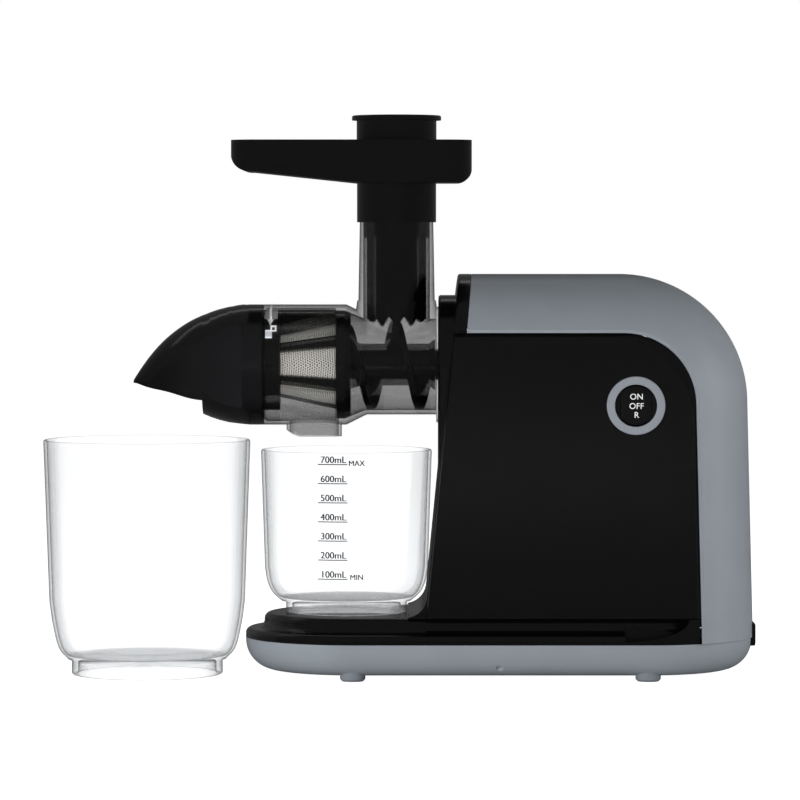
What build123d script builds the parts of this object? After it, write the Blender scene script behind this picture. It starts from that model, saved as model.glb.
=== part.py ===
# Horizontal cold press juicer with its juice cup and pulp cup.
# Millimetres. +X runs from the nose of the juicing part to the rear of the motor housing, -Y is the
# switch side, +Z is up. The origin is on the table, at the middle of the machine and its cups.
from build123d import *
from math import acos, cos, pi, radians, sin, sqrt, tan
import os

# ---------------------------------------------------------------- driving dimensions
AXIS_Z = 198.0            # height of the juicing axis above the table
GAP = 0.3                 # clearance between pieces that only lie side by side

FOOT_HEIGHT = 3.8
FOOT_RADIUS = 8.0
BASE_LEFT = -97.6         # base pan: an obround in plan
BASE_RIGHT = 226.5
BASE_HALF = 69.0
PAN_TOP = 24.0
PAN_EDGE = 19.0           # rounding of the pan's lower edge
WALL = 2.5                # moulded housing wall

RIM_TOP = 30.0            # deck: low rim, then a plateau inset from it
DECK_TOP = 39.6
DECK_INSET = 12.0
PAN_SCREW_Z = 11.6        # underside of the screw heads, up in the pan's posts
PAN_POSTS = [(x, y) for x in (-40.8, 169.2) for y in (-42, 42)]
DECK_REAR = 189.4         # the deck ends beside the lip of the cover
LOBE_X = 142.4            # where the deck's flanks start to rise behind the recess
LOBE_LENGTH = 40.0

BODY_HALF = 62.0          # plane of the flat side panels
BODY_TOP = 256.0
CROWN_DROP = 34.5         # fall of the crowned cover from its ridge to the panel
CORNER_R = 82.0           # rear top corner of the housing, in side view
CORNER_X = 141.4
CORNER_Z = BODY_TOP - CORNER_R
REAR_LEAN = 1.5           # degrees that the rear wall leans out on its way down
FRONT_LEAN = 5.63         # degrees that the front face leans back
FRONT_TOP_X = 38.2        # front face at the height of the ridge
SHELL_LIP = 2.0           # flat lip of the cover beside the panel
PANEL_TOP = BODY_TOP - CROWN_DROP - SHELL_LIP - GAP
PANEL_CORNER = PANEL_TOP - CORNER_Z
PANEL_RIGHT = CORNER_X + PANEL_CORNER     # before it leans out with the rear wall
PANEL_BACK = 58.0         # inner face of the side panels
BEZEL = 8.5               # black rim between the front face and the cover

SOCKET_FACE_X = 25.8      # flat face of the collar that the drum locks into
COLLAR_R = 44.5
SOCKET_R = 37.7
SOCKET_FLOOR_X = 34.0

LUG_R = 40.5              # bayonet lugs of the drum
LUG_X = (28.0, 31.0)
HUB_R = 9.5               # rear journal of the auger
UNLOCK_ANGLE = 40.0       # twist of the drum between locked and free

SWITCH_X = 149.0
SWITCH_Z = 174.0
RING_OUTER = 18.3
RING_INNER = 13.2
SWITCH_BODY_R = 15.0
ROCKER_R = 12.2
ROCKER_WIDTH = 19.0

DRUM_FRONT_X = -86.0
DRUM_R = 38.5
DRUM_WALL = 2.3
SEAT_R = 34.6             # bore of the drum at its front rim and where the strainer seats
NECK_R = 32.0             # narrow rear part of the drum
SHOULDER_X = (-33.0, -20.0)
FLANGE_R = 37.0
TUBE_X = -1.0             # feed tube
TUBE_R = (25.2, 23.5)     # on the axis of the drum and under the hopper
TUBE_BORE = 21.3
TUBE_TOP = 303.0

HOPPER_TOP = 341.0
HOPPER_BOTTOM = 314.1
HOPPER_LEFT = -105.9
HOPPER_RIGHT = 46.7
HOPPER_HALF = 40.0
HOPPER_WALL = 2.2
NECK_SKIRT = (25.3, 23.9)     # outer and inner radius of the skirt over the feed tube
NECK_SPIGOT = (20.9, 19.5)
SKIRT_BOTTOM = 289.0

NECK_BORE = 29.3
SPOUT_BOTTOM = 152.2
SPOUT_X = (-71.5, -36.0)
SPOUT_R = 10.6
STRAINER_X = (-79.0, -39.0)   # tapered part of the strainer
STRAINER_R = (20.2, 28.6)
FRAME_WALL = 2.2
NOZZLE_R = 17.4           # nozzle of the strainer that presses the pulp out into the cap
WINDOW_TURN = -3.5        # degrees that the strainer's windows are turned from level
COLLAR_FRONT = (-87.0, 29.1)  # front collar of the strainer: its rim in X, and its radius
FIN = (5.0, 33.9, 35.7)   # locating fin on top: thickness, then its height at the rear and in front
SPIGOT_LENGTH = 8.0       # front rim of the drum, inside the end cap

PUSHER_TOP = 357.1
PUSHER_FOOT = 229.0
PLUNGER_R = 19.0
HANDLE_R = 25.5

AUGER_PITCH = 31.0
FLIGHT_LOW_X = -17.0      # a flight points straight down here
AUGER_R = 28.6
CORE_R = 13.4

CUP_WALL = 2.0
JUICE_X = -33.1
JUICE_RIM = (54.7, 143.8)     # radius and height
JUICE_FOOT_R = 38.7
PULP_X = -160.9
PULP_FOOT_R = 48.3
PULP_RIM = (66.2, 150.0)

GEAR_STAGES = ((1.5, 52.0, 9.0), (1.25, 64.0, 6.0), (1.0, 73.0, 5.0))   # module, wheel X, wheel width
WHEEL_TEETH = 42
PINION_TEETH = 12
BACKLASH = 0.16           # taken off each tooth, in radians of one pitch turn times the teeth
SHAFT_R = 6.0
AXLE_R = 3.0
BUSH_R = 9.0
CASE_FRONT = 46.0         # gear case, front wall to rear wall
CASE_SPLIT = 63.0
CASE_REAR = 84.0
CASE_R = 38.0
MOTOR_X = 92.0
MOTOR_LENGTH = 76.0
MOTOR_R = 34.0
ROTOR_SHAFT_R = 3.0

os.makedirs("parts", exist_ok=True)


# ---------------------------------------------------------------- shared shapes
def base_length(inset: float) -> float:
    """Overall length of the obround base outline, drawn in by an inset."""
    return BASE_RIGHT - BASE_LEFT - 2 * inset


def base_outline(inset: float):
    """Add the obround of the base to the sketch that is open."""
    with Locations(((BASE_LEFT + BASE_RIGHT) / 2, 0)):
        SlotOverall(base_length(inset), 2 * (BASE_HALF - inset))


def front_x(height: float) -> float:
    """X of the leaning front face at a height."""
    return FRONT_TOP_X - tan(radians(FRONT_LEAN)) * (BODY_TOP - height)


def front_plane(depth: float) -> Plane:
    """Plane of the leaning front face, set back by a depth, facing the rear."""
    lean = radians(FRONT_LEAN)
    return Plane(origin=(FRONT_TOP_X + depth, 0, BODY_TOP), z_dir=(cos(lean), 0, -sin(lean)))


def crown_face(plane: Plane, inset: float, lip: float) -> Sketch:
    """The face under the crowned ridge: an arc over two short upright lips, drawn in by an inset."""
    half = BODY_HALF - inset
    spring = BODY_TOP - CROWN_DROP
    with BuildSketch(plane) as face:
        with BuildLine():
            Polyline((-half, spring), (-half, spring - lip), (half, spring - lip), (half, spring))
            ThreePointArc((-half, spring), (0, BODY_TOP - inset), (half, spring))
        make_face()
    return face.sketch


def disc(plane: Plane, outer: float, inner: float = 0) -> Sketch:
    """A disc on a plane, or a ring where it has an inner radius."""
    with BuildSketch(plane) as face:
        Circle(outer)
        if inner:
            Circle(inner, mode=Mode.SUBTRACT)
    return face.sketch


def level_face(builder: BuildPart, height: float) -> Face:
    """The flat horizontal face of a part at a height."""
    return builder.faces().filter_by(Axis.Z).filter_by(lambda f: abs(f.center().Z - height) < 0.01)[0]


def edges_on(builder: BuildPart, plane: Plane) -> ShapeList:
    """The edges of a part that lie in a plane."""
    return builder.edges().filter_by(
        lambda e: all(abs((e @ t - plane.origin).dot(plane.z_dir)) < 0.01 for t in (0, 0.3, 1)))


def across(x: float, z: float = AXIS_Z) -> Plane:
    """Plane across the juicing axis at X, with its centre at a height."""
    return Plane(origin=(x, 0, z), x_dir=(0, 1, 0), z_dir=(1, 0, 0))


def upright(height: float, x: float = TUBE_X) -> Plane:
    """Horizontal plane at a height, centred on the feed tube or on another upright axis."""
    return Plane(origin=(x, 0, height))


# ---------------------------------------------------------------- base and deck
with BuildPart() as base_pan:
    with BuildSketch(Plane.XY.offset(FOOT_HEIGHT - 0.4)):
        base_outline(0)
    extrude(amount=PAN_TOP - FOOT_HEIGHT + 0.4)
    fillet(base_pan.faces().sort_by(Axis.Z)[0].edges(), radius=PAN_EDGE)
    full_pan = base_pan.part
    offset(amount=-WALL, openings=base_pan.faces().sort_by(Axis.Z)[-1])
    with BuildSketch(Plane.XY.offset(FOOT_HEIGHT + WALL - 0.6)):
        with Locations(*PAN_POSTS):
            Circle(5.0)
    extrude(amount=PAN_TOP - FOOT_HEIGHT - WALL - 0.2)
    for hole_r, hole_top in ((3.7, PAN_SCREW_Z + 1.8), (1.6, PAN_TOP + 1)):
        with BuildSketch(Plane.XY):
            with Locations(*PAN_POSTS):
                Circle(hole_r)
        extrude(amount=hole_top, mode=Mode.SUBTRACT)
    with BuildSketch(Plane.XY):
        with Locations((126, 0)):
            with GridLocations(11, 0, 7, 1):
                SlotOverall(46, 4, rotation=90)
    extrude(amount=12, mode=Mode.SUBTRACT)
    with Locations((BASE_RIGHT, 0, 25.8)):
        Box(8, 28.6, 15.2, mode=Mode.SUBTRACT)
    # thumb mark in the middle of the lower edge
    with Locations((63.7, -64.6, 8.0)):
        Sphere(3.0, mode=Mode.SUBTRACT)

with BuildPart() as feet:
    with BuildSketch(Plane.XY) as foot_sole:
        with Locations((BASE_LEFT + BASE_HALF, 0), (BASE_RIGHT - BASE_HALF, 0)):
            with GridLocations(0, 104, 1, 2):
                Circle(FOOT_RADIUS)
    extrude(amount=FOOT_HEIGHT + 4)
    chamfer(feet.faces().group_by(Axis.Z)[0].edges(), length=1.4)
    # each foot is moulded to the rounded underside of the pan
    add(full_pan, mode=Mode.SUBTRACT)

with BuildPart() as deck:
    with BuildSketch(Plane.XY.offset(PAN_TOP + 0.1)):
        base_outline(0)
    extrude(amount=RIM_TOP - PAN_TOP - 0.1)
    with BuildSketch(Plane.XY.offset(RIM_TOP)):
        base_outline(DECK_INSET)
    extrude(amount=DECK_TOP - RIM_TOP)
    fillet(level_face(deck, DECK_TOP).edges(), radius=4.0)
    fillet(level_face(deck, RIM_TOP).inner_wires()[0].edges(), radius=5.0)
    fillet(level_face(deck, RIM_TOP).outer_wire().edges(), radius=3.5)
    # both flanks rise behind the recess in a quarter ellipse, up to the foot of the side panels
    with BuildSketch(Plane.XY.offset(PAN_TOP + 0.1)) as flank_plan:
        base_outline(0)
        with Locations((64.2, 0)):
            Rectangle(400, 2 * (BODY_HALF - 5), mode=Mode.SUBTRACT)
        with Locations((LOBE_X - 170, 0)):
            Rectangle(340, 200, mode=Mode.SUBTRACT)
    extrude(amount=DECK_TOP - PAN_TOP - 0.1)
    with BuildSketch(Plane.XZ) as flank_cut:
        with Locations((LOBE_X, DECK_TOP)):
            Ellipse(LOBE_LENGTH, DECK_TOP - RIM_TOP + 4.0)
        with Locations((LOBE_X - 50, DECK_TOP)):
            Rectangle(100, 30, mode=Mode.SUBTRACT)
        with Locations((LOBE_X, DECK_TOP + 20)):
            Rectangle(100, 40, mode=Mode.SUBTRACT)
    for side in (-1, 1):
        with BuildSketch(Plane.XZ.offset(-side * (BODY_HALF - 5))):
            add(flank_cut.sketch)
        extrude(amount=-side * 20, mode=Mode.SUBTRACT)
    with Locations((DECK_REAR + 50, 0, 30)):
        Box(100, 200, 60, mode=Mode.SUBTRACT)
    # the deck is a shell, open underneath
    with BuildSketch(Plane.XY.offset(PAN_TOP)):
        with Locations((45, 0)):
            SlotOverall(260, 2 * (BASE_HALF - DECK_INSET - WALL - 2))
        with Locations((210, 0)):
            Rectangle(80, 200, mode=Mode.SUBTRACT)
    extrude(amount=DECK_TOP - PAN_TOP - WALL, mode=Mode.SUBTRACT)
    with BuildSketch(Plane.XY.offset(PAN_TOP + 0.1)):
        with Locations(*PAN_POSTS):
            Circle(5.0)
    extrude(amount=DECK_TOP - PAN_TOP - 1)
    with BuildSketch(Plane.XY.offset(PAN_TOP)):
        with Locations(*PAN_POSTS):
            Circle(1.6)
    extrude(amount=12, mode=Mode.SUBTRACT)
    # the wiring and the motor's cooling air pass through a window under the motor
    with Locations((120, 0, DECK_TOP)):
        Box(96, 70, 20, mode=Mode.SUBTRACT)

# ---------------------------------------------------------------- housing
with BuildPart() as top_shell:
    start = Plane.YZ.offset(FRONT_TOP_X - 20)
    extrude(crown_face(start, 0, SHELL_LIP), amount=CORNER_X - FRONT_TOP_X + 20)
    extrude(crown_face(start, WALL, SHELL_LIP + 1), amount=CORNER_X - FRONT_TOP_X + 20, mode=Mode.SUBTRACT)
    corner_face = top_shell.faces().sort_by(Axis.X)[-1]
    revolve(corner_face, axis=Axis((CORNER_X, 0, CORNER_Z), (0, 1, 0)), revolution_arc=90 - REAR_LEAN)
    rear_face = top_shell.faces().sort_by(Axis.Z)[0]
    extrude(rear_face, amount=CORNER_Z)
    split(bisect_by=Plane.XY.offset(PAN_TOP + 0.3), keep=Keep.TOP)
    split(bisect_by=front_plane(BEZEL), keep=Keep.TOP)
    with Locations((BASE_RIGHT, 0, 25.8)):
        Box(12, 28.6, 15.2, mode=Mode.SUBTRACT)

with BuildPart() as front_bulkhead:
    # crowned rim beside the cover, over a plate that closes the front between the side panels
    extrude(crown_face(Plane.YZ, 0, SHELL_LIP), amount=70)
    with BuildSketch(Plane.YZ) as plate_face:
        with Locations((0, (DECK_TOP + GAP + BODY_TOP - CROWN_DROP) / 2)):
            Rectangle(2 * PANEL_BACK - 0.6, BODY_TOP - CROWN_DROP - DECK_TOP - GAP)
    extrude(plate_face.sketch, amount=70)
    split(bisect_by=front_plane(0), keep=Keep.TOP)
    split(bisect_by=front_plane(BEZEL - GAP), keep=Keep.BOTTOM)
    fillet(edges_on(front_bulkhead, front_plane(0)).filter_by(GeomType.LINE, reverse=True), radius=1.6)
    # collar: an arch that stands proud of the leaning face
    with BuildSketch(across(SOCKET_FACE_X)) as collar_face:
        Circle(COLLAR_R)
        with Locations((0, -COLLAR_R)):
            Rectangle(2 * COLLAR_R, 2 * COLLAR_R)
    extrude(collar_face.sketch, amount=18)
    fillet(front_bulkhead.faces().filter_by(Axis.X).sort_by(Axis.X)[0].edges(), radius=1.6)
    split(bisect_by=front_plane(BEZEL - GAP), keep=Keep.BOTTOM)
    # flare down to the deck
    foot = DECK_TOP + 0.1
    with BuildSketch(Plane.XZ.offset(-(PANEL_BACK - 0.4))) as flare:
        with BuildLine():
            FilletPolyline((front_x(58), 58), (front_x(foot), foot + 0.6), (3.5, foot + 0.6), radius=14)
            Polyline((3.5, foot + 0.6), (3.5, foot), (front_x(foot) + 5, foot), (front_x(58) + 5, 58),
                     (front_x(58), 58))
        make_face()
    extrude(flare.sketch, amount=2 * (PANEL_BACK - 0.4))
    # the toe stops short of the juice cup's foot, so that the cup can be drawn out sideways
    with Locations((JUICE_X + JUICE_FOOT_R + 0.6 - 10, 0, foot + 5)):
        Box(20, 200, 12, mode=Mode.SUBTRACT)
    # socket, its bayonet groove and the three entries for the drum's lugs
    extrude(disc(across(SOCKET_FACE_X), SOCKET_R), amount=SOCKET_FLOOR_X - SOCKET_FACE_X, mode=Mode.SUBTRACT)
    extrude(disc(across(LUG_X[0] - GAP), LUG_R + 0.6), amount=LUG_X[1] - LUG_X[0] + 2 * GAP, mode=Mode.SUBTRACT)
    with BuildSketch(across(SOCKET_FACE_X)) as lug_entries:
        with PolarLocations(SOCKET_R, 3, start_angle=90 + UNLOCK_ANGLE):
            Rectangle(8, 22)
        Circle(LUG_R + 0.6, mode=Mode.INTERSECT)
    extrude(lug_entries.sketch, amount=4, mode=Mode.SUBTRACT)
    extrude(disc(across(SOCKET_FLOOR_X), HUB_R + 0.5), amount=20, mode=Mode.SUBTRACT)


def panel_face(plane: Plane, right: float, top: float, corner: float, left_setback: float) -> Sketch:
    """Outline of a side panel: leaning front and rear edges, flat top, one large rounded corner."""
    low = DECK_TOP + 0.5
    elbow = top - corner
    bottom_right = right + tan(radians(REAR_LEAN)) * (elbow - low)
    with BuildSketch(plane) as face:
        with BuildLine():
            Line((front_x(low) + left_setback, low), (front_x(top) + left_setback, top))
            Line((front_x(top) + left_setback, top), (right - corner, top))
            ThreePointArc((right - corner, top), (right - corner * (1 - sqrt(0.5)), top - corner * (1 - sqrt(0.5))),
                          (right, elbow))
            Line((right, elbow), (bottom_right, low))
            Line((bottom_right, low), (front_x(low) + left_setback, low))
        make_face()
    return face.sketch


with BuildPart() as panel_blank:
    # a flat face inside a softly sloping border
    border = Plane(origin=(0, -BODY_HALF + 2.4, 0), x_dir=(1, 0, 0), z_dir=(0, -1, 0))
    face_plane = Plane(origin=(0, -BODY_HALF, 0), x_dir=(1, 0, 0), z_dir=(0, -1, 0))
    outline = panel_face(border, PANEL_RIGHT, PANEL_TOP, PANEL_CORNER, 0.4)
    loft([outline, panel_face(face_plane, PANEL_RIGHT - 1.6, PANEL_TOP - 3.0, PANEL_CORNER + 8, 1.2)], ruled=True)
    extrude(outline, amount=-1.6)

with BuildPart() as front_panel:
    add(panel_blank.part)
    with BuildSketch(Plane.XZ.offset(BODY_HALF + 1)) as switch_bore:
        with Locations((SWITCH_X, SWITCH_Z)):
            Circle(SWITCH_BODY_R + 0.1)
    extrude(switch_bore.sketch, amount=-10, mode=Mode.SUBTRACT)

with BuildPart() as back_panel:
    add(mirror(panel_blank.part, about=Plane.XZ, mode=Mode.PRIVATE))
    with BuildSketch(Plane.XZ.offset(-BODY_HALF - 1)) as vent_slots:
        with Locations((130, 96)):
            with GridLocations(0, 9, 1, 8):
                SlotOverall(44, 3.6)
    extrude(vent_slots.sketch, amount=10, mode=Mode.SUBTRACT)
    # pillars for the control board
    with Locations(*[(x, PANEL_BACK - 4, z) for x in (104, 156) for z in (162, 194)]):
        Cylinder(3, 10.4, rotation=(90, 0, 0))

with BuildPart() as cord_inlet:
    # plate in the rear wall, half in the cover and half in the pan, with a blind bore for the cord
    with BuildSketch(Plane.YZ.offset(BASE_RIGHT - 5)) as inlet_face:
        with Locations((0, 25.8)):
            RectangleRounded(28, 14.6, radius=3)
    extrude(inlet_face.sketch, amount=6.8)
    fillet(cord_inlet.faces().sort_by(Axis.X)[-1].edges(), radius=1.0)
    with BuildSketch(Plane.YZ.offset(BASE_RIGHT - 3.3)) as inlet_bore:
        with Locations((0, 25.8)):
            Circle(3.6)
    extrude(inlet_bore.sketch, amount=6, mode=Mode.SUBTRACT)

# ---------------------------------------------------------------- switch
switch_plane = Plane(origin=(SWITCH_X, -BODY_HALF, SWITCH_Z), x_dir=(1, 0, 0), z_dir=(0, -1, 0))

with BuildPart() as switch_ring:
    extrude(disc(switch_plane, RING_OUTER, RING_INNER), amount=1.8)
    fillet(switch_ring.faces().filter_by(Axis.Y).sort_by(Axis.Y)[0].edges(), radius=0.7)

with BuildPart() as switch_housing:
    extrude(disc(switch_plane.offset(-24), SWITCH_BODY_R, ROCKER_R + 0.9), amount=23.9)
    extrude(disc(switch_plane.offset(-26), SWITCH_BODY_R), amount=2)
    with BuildSketch(switch_plane.offset(-1.5)) as dished_cheeks:
        Circle(ROCKER_R + 1.0)
        Rectangle(ROCKER_WIDTH + 2 * GAP, 40, mode=Mode.SUBTRACT)
    extrude(dished_cheeks.sketch, amount=-14)
    with Locations((SWITCH_X, -BODY_HALF + 4.5, SWITCH_Z)):
        Cylinder(1.25, 26, rotation=(0, 90, 0), mode=Mode.SUBTRACT)

with BuildPart() as rocker:
    with BuildSketch(Plane.YZ.offset(SWITCH_X - ROCKER_WIDTH / 2)) as rocker_side:
        with BuildLine():
            Polyline((-BODY_HALF + 9, SWITCH_Z - 8), (-BODY_HALF + 0.2, SWITCH_Z - ROCKER_R))
            ThreePointArc((-BODY_HALF + 0.2, SWITCH_Z - ROCKER_R), (-BODY_HALF + 1.2, SWITCH_Z),
                          (-BODY_HALF + 0.2, SWITCH_Z + ROCKER_R))
            Polyline((-BODY_HALF + 0.2, SWITCH_Z + ROCKER_R), (-BODY_HALF + 9, SWITCH_Z + 8),
                     (-BODY_HALF + 9, SWITCH_Z - 8))
        make_face()
    extrude(rocker_side.sketch, amount=ROCKER_WIDTH)
    with BuildSketch(switch_plane) as rocker_round:
        Circle(ROCKER_R)
    extrude(rocker_round.sketch, amount=20, both=True, mode=Mode.INTERSECT)
    with Locations((SWITCH_X, -BODY_HALF + 4.5, SWITCH_Z)):
        Cylinder(1.2, ROCKER_WIDTH + 3, rotation=(0, 90, 0))


# ---------------------------------------------------------------- gearing and motor
def axle_heights() -> list[float]:
    """Heights of the output shaft, the two compound gears and the motor, one under the other."""
    heights = [AXIS_Z]
    for module, _, _ in GEAR_STAGES:
        heights.append(heights[-1] - module * (WHEEL_TEETH + PINION_TEETH) / 2)
    return heights


OUTPUT_Z, FIRST_Z, SECOND_Z, MOTOR_Z = axle_heights()


def involute(angle: float) -> float:
    """Involute function of a pressure angle, in radians."""
    return tan(angle) - angle


def gear_face(plane: Plane, teeth: int, module: float, first_tooth: float, bore: float) -> Sketch:
    """Spur gear outline with involute flanks, its first tooth at an angle in degrees."""
    pitch_r = module * teeth / 2
    base_r = pitch_r * cos(radians(20))
    root_r = pitch_r - 1.25 * module
    tip_r = pitch_r + 0.85 * module
    half_tooth = (pi / 2 - BACKLASH) / teeth + involute(radians(20))

    def flank(radius: float) -> float:
        return half_tooth - involute(acos(min(1.0, base_r / max(radius, base_r))))

    radii = (root_r, pitch_r, tip_r)
    tooth = [(r, -flank(r)) for r in radii] + [(r, flank(r)) for r in reversed(radii)]
    points = []
    for number in range(teeth):
        turn = radians(first_tooth) + 2 * pi * number / teeth
        points += [(r * cos(turn + a), r * sin(turn + a)) for r, a in tooth]
    with BuildSketch(plane) as face:
        with BuildLine():
            Polyline(*points, close=True)
        make_face()
        if bore:
            Circle(bore, mode=Mode.SUBTRACT)
    return face.sketch


with BuildPart() as output_shaft:
    # round journal behind, hexagonal drive in front where the auger slides on
    extrude(disc(across(33.5), SHAFT_R), amount=CASE_REAR - 1 - 33.5)
    with BuildSketch(across(14)) as drive_hex:
        RegularPolygon(SHAFT_R - 0.8, 6)
    extrude(drive_hex.sketch, amount=20)
    chamfer(output_shaft.faces().sort_by(Axis.X)[0].edges(), length=0.8)

with BuildPart() as output_gear:
    module, wheel_x, width = GEAR_STAGES[0]
    extrude(gear_face(across(wheel_x), WHEEL_TEETH, module, -90, SHAFT_R), amount=width)
    extrude(disc(across(wheel_x - 2), SHAFT_R + 5, SHAFT_R), amount=width + 4)
    extrude(disc(across(wheel_x), 24, SHAFT_R + 5), amount=width / 3, mode=Mode.SUBTRACT)


def compound_gear(pinion_stage: int, height: float) -> Part:
    """A pinion and the wheel of the next stage in one piece, free on its axle."""
    small_module, small_x, small_width = GEAR_STAGES[pinion_stage]
    large_module, large_x, large_width = GEAR_STAGES[pinion_stage + 1]
    gap_up = 90 + 180 / PINION_TEETH
    bore = AXLE_R + 0.06
    with BuildPart() as gear:
        extrude(gear_face(across(small_x - 0.5, height), PINION_TEETH, small_module, gap_up, bore),
                amount=large_x - small_x + 0.5)
        extrude(gear_face(across(large_x, height), WHEEL_TEETH, large_module, -90, bore), amount=large_width)
        extrude(disc(across(large_x + large_width, height), AXLE_R + 3, bore), amount=1.5)
    return gear.part


with BuildPart() as first_gear:
    add(compound_gear(0, FIRST_Z))

with BuildPart() as second_gear:
    add(compound_gear(1, SECOND_Z))

with BuildPart() as gear_axles:
    for height in (FIRST_Z, SECOND_Z):
        extrude(disc(across(CASE_FRONT + 1.5, height), AXLE_R), amount=CASE_REAR - CASE_FRONT - 3)


EAR_R = 5.0
SCREW_HOLE_R = 1.6
CASE_FOOT_TOP = MOTOR_Z - 17.6
EARS = ((-41.5, OUTPUT_Z), (41.5, OUTPUT_Z), (-25.3, MOTOR_Z - 9), (25.3, MOTOR_Z - 9))


def case_outline(plane: Plane, inset: float) -> Sketch:
    """Egg outline round the gear train, drawn in by an inset."""
    with BuildSketch(plane) as face:
        Circle(CASE_R - inset)
        with Locations((0, MOTOR_Z + 12 - OUTPUT_Z)):
            Circle(CASE_R - 8 - inset)
        make_hull()
    return face.sketch


def motor_screw_holes(x: float) -> Sketch:
    """The two holes through which the motor is bolted to the gear cover."""
    with BuildSketch(across(x, MOTOR_Z)) as holes:
        with Locations((-14, 0), (14, 0)):
            Circle(SCREW_HOLE_R - 0.2)
    return holes.sketch


with BuildPart() as gear_case:
    extrude(case_outline(across(CASE_FRONT), 0), amount=CASE_SPLIT - CASE_FRONT - 0.05)
    extrude(case_outline(across(CASE_FRONT + WALL), WALL), amount=30, mode=Mode.SUBTRACT)
    extrude(disc(across(CASE_FRONT - 3.4), 13), amount=5.4)
    with BuildSketch(Plane.YZ.offset(CASE_FRONT)) as ear_outline:
        with Locations(*EARS):
            Circle(EAR_R)
    extrude(ear_outline.sketch, amount=CASE_SPLIT - CASE_FRONT - 0.05)
    # foot that stands on the deck
    with Locations(((CASE_FRONT + CASE_SPLIT) / 2, 0, (DECK_TOP + CASE_FOOT_TOP) / 2)):
        Box(CASE_SPLIT - CASE_FRONT - 4, 36, CASE_FOOT_TOP - DECK_TOP)
    with BuildSketch(Plane.YZ.offset(CASE_FRONT - 1)) as ear_holes:
        with Locations(*EARS):
            Circle(SCREW_HOLE_R)
    extrude(ear_holes.sketch, amount=40, mode=Mode.SUBTRACT)
    for height in (FIRST_Z, SECOND_Z):
        extrude(disc(across(CASE_FRONT, height), AXLE_R + 3), amount=WALL + 1.2)
        extrude(disc(across(CASE_FRONT + 1.5, height), AXLE_R), amount=6, mode=Mode.SUBTRACT)
    extrude(disc(across(CASE_FRONT - 6), BUSH_R), amount=12, mode=Mode.SUBTRACT)

with BuildPart() as gear_cover:
    extrude(case_outline(across(CASE_SPLIT + 0.05), 0), amount=CASE_REAR - CASE_SPLIT)
    extrude(case_outline(across(CASE_SPLIT - 1), WALL), amount=CASE_REAR - CASE_SPLIT + 1 - WALL,
            mode=Mode.SUBTRACT)
    with BuildSketch(Plane.YZ.offset(CASE_SPLIT + 0.05)) as cover_ears:
        with Locations(*EARS):
            Circle(EAR_R)
            Circle(SCREW_HOLE_R, mode=Mode.SUBTRACT)
    extrude(cover_ears.sketch, amount=12)
    extrude(disc(across(CASE_REAR - 4), BUSH_R + 3), amount=4)
    extrude(disc(across(CASE_REAR - 6), SHAFT_R + 0.06), amount=5, mode=Mode.SUBTRACT)
    for height in (FIRST_Z, SECOND_Z):
        extrude(disc(across(CASE_REAR - 3.5, height), AXLE_R + 3), amount=2)
        extrude(disc(across(CASE_REAR - 6, height), AXLE_R), amount=4.5, mode=Mode.SUBTRACT)
    extrude(disc(across(CASE_REAR - 6, MOTOR_Z), 8.4), amount=10, mode=Mode.SUBTRACT)
    extrude(motor_screw_holes(CASE_REAR - 8), amount=10, mode=Mode.SUBTRACT)

with BuildPart() as output_bushing:
    extrude(disc(across(CASE_FRONT - 3.4), BUSH_R, SHAFT_R + 0.05), amount=5.4)

with BuildPart() as shaft_seal:
    extrude(disc(across(SOCKET_FLOOR_X + 3), HUB_R + 0.3, SHAFT_R + 0.08), amount=3.5)

with BuildPart() as motor_can:
    extrude(disc(across(MOTOR_X, MOTOR_Z), MOTOR_R, MOTOR_R - 2), amount=MOTOR_LENGTH)
    extrude(disc(across(MOTOR_X + MOTOR_LENGTH, MOTOR_Z), MOTOR_R, 8), amount=2)
    extrude(disc(across(MOTOR_X + MOTOR_LENGTH + 2, MOTOR_Z), 11, 8), amount=5)

with BuildPart() as motor_bell:
    # front bell: carries the front bearing and bolts the motor to the gear cover
    extrude(disc(across(CASE_REAR + 0.1, MOTOR_Z), MOTOR_R, 8), amount=MOTOR_X - CASE_REAR - 0.2)
    extrude(disc(across(MOTOR_X - 1, MOTOR_Z), MOTOR_R - 2.2, 8), amount=5)
    with BuildSketch(across(CASE_REAR, MOTOR_Z)) as bell_windows:
        with PolarLocations(21, 4, start_angle=45):
            Circle(6)
    extrude(bell_windows.sketch, amount=20, mode=Mode.SUBTRACT)
    extrude(motor_screw_holes(CASE_REAR), amount=10, mode=Mode.SUBTRACT)

with BuildPart() as motor_bearings:
    extrude(disc(across(MOTOR_X - 2, MOTOR_Z), 7.9, ROTOR_SHAFT_R + 0.05), amount=5)
    extrude(disc(across(MOTOR_X + MOTOR_LENGTH + 1, MOTOR_Z), 7.9, ROTOR_SHAFT_R + 0.05), amount=5)

with BuildPart() as motor_magnets:
    extrude(disc(across(MOTOR_X + 14, MOTOR_Z), MOTOR_R - 2.1, MOTOR_R - 7), amount=46)
    with Locations((MOTOR_X + 40, 0, MOTOR_Z)):
        Box(80, 18, 90, mode=Mode.SUBTRACT)

with BuildPart() as rotor_shaft:
    module, wheel_x, width = GEAR_STAGES[2]
    extrude(gear_face(across(wheel_x - 0.6, MOTOR_Z), PINION_TEETH, module, 90 + 180 / PINION_TEETH, 0),
            amount=width + 1.2)
    extrude(disc(across(wheel_x + 3, MOTOR_Z), ROTOR_SHAFT_R), amount=MOTOR_X + MOTOR_LENGTH + 21 - wheel_x - 3)

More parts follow.
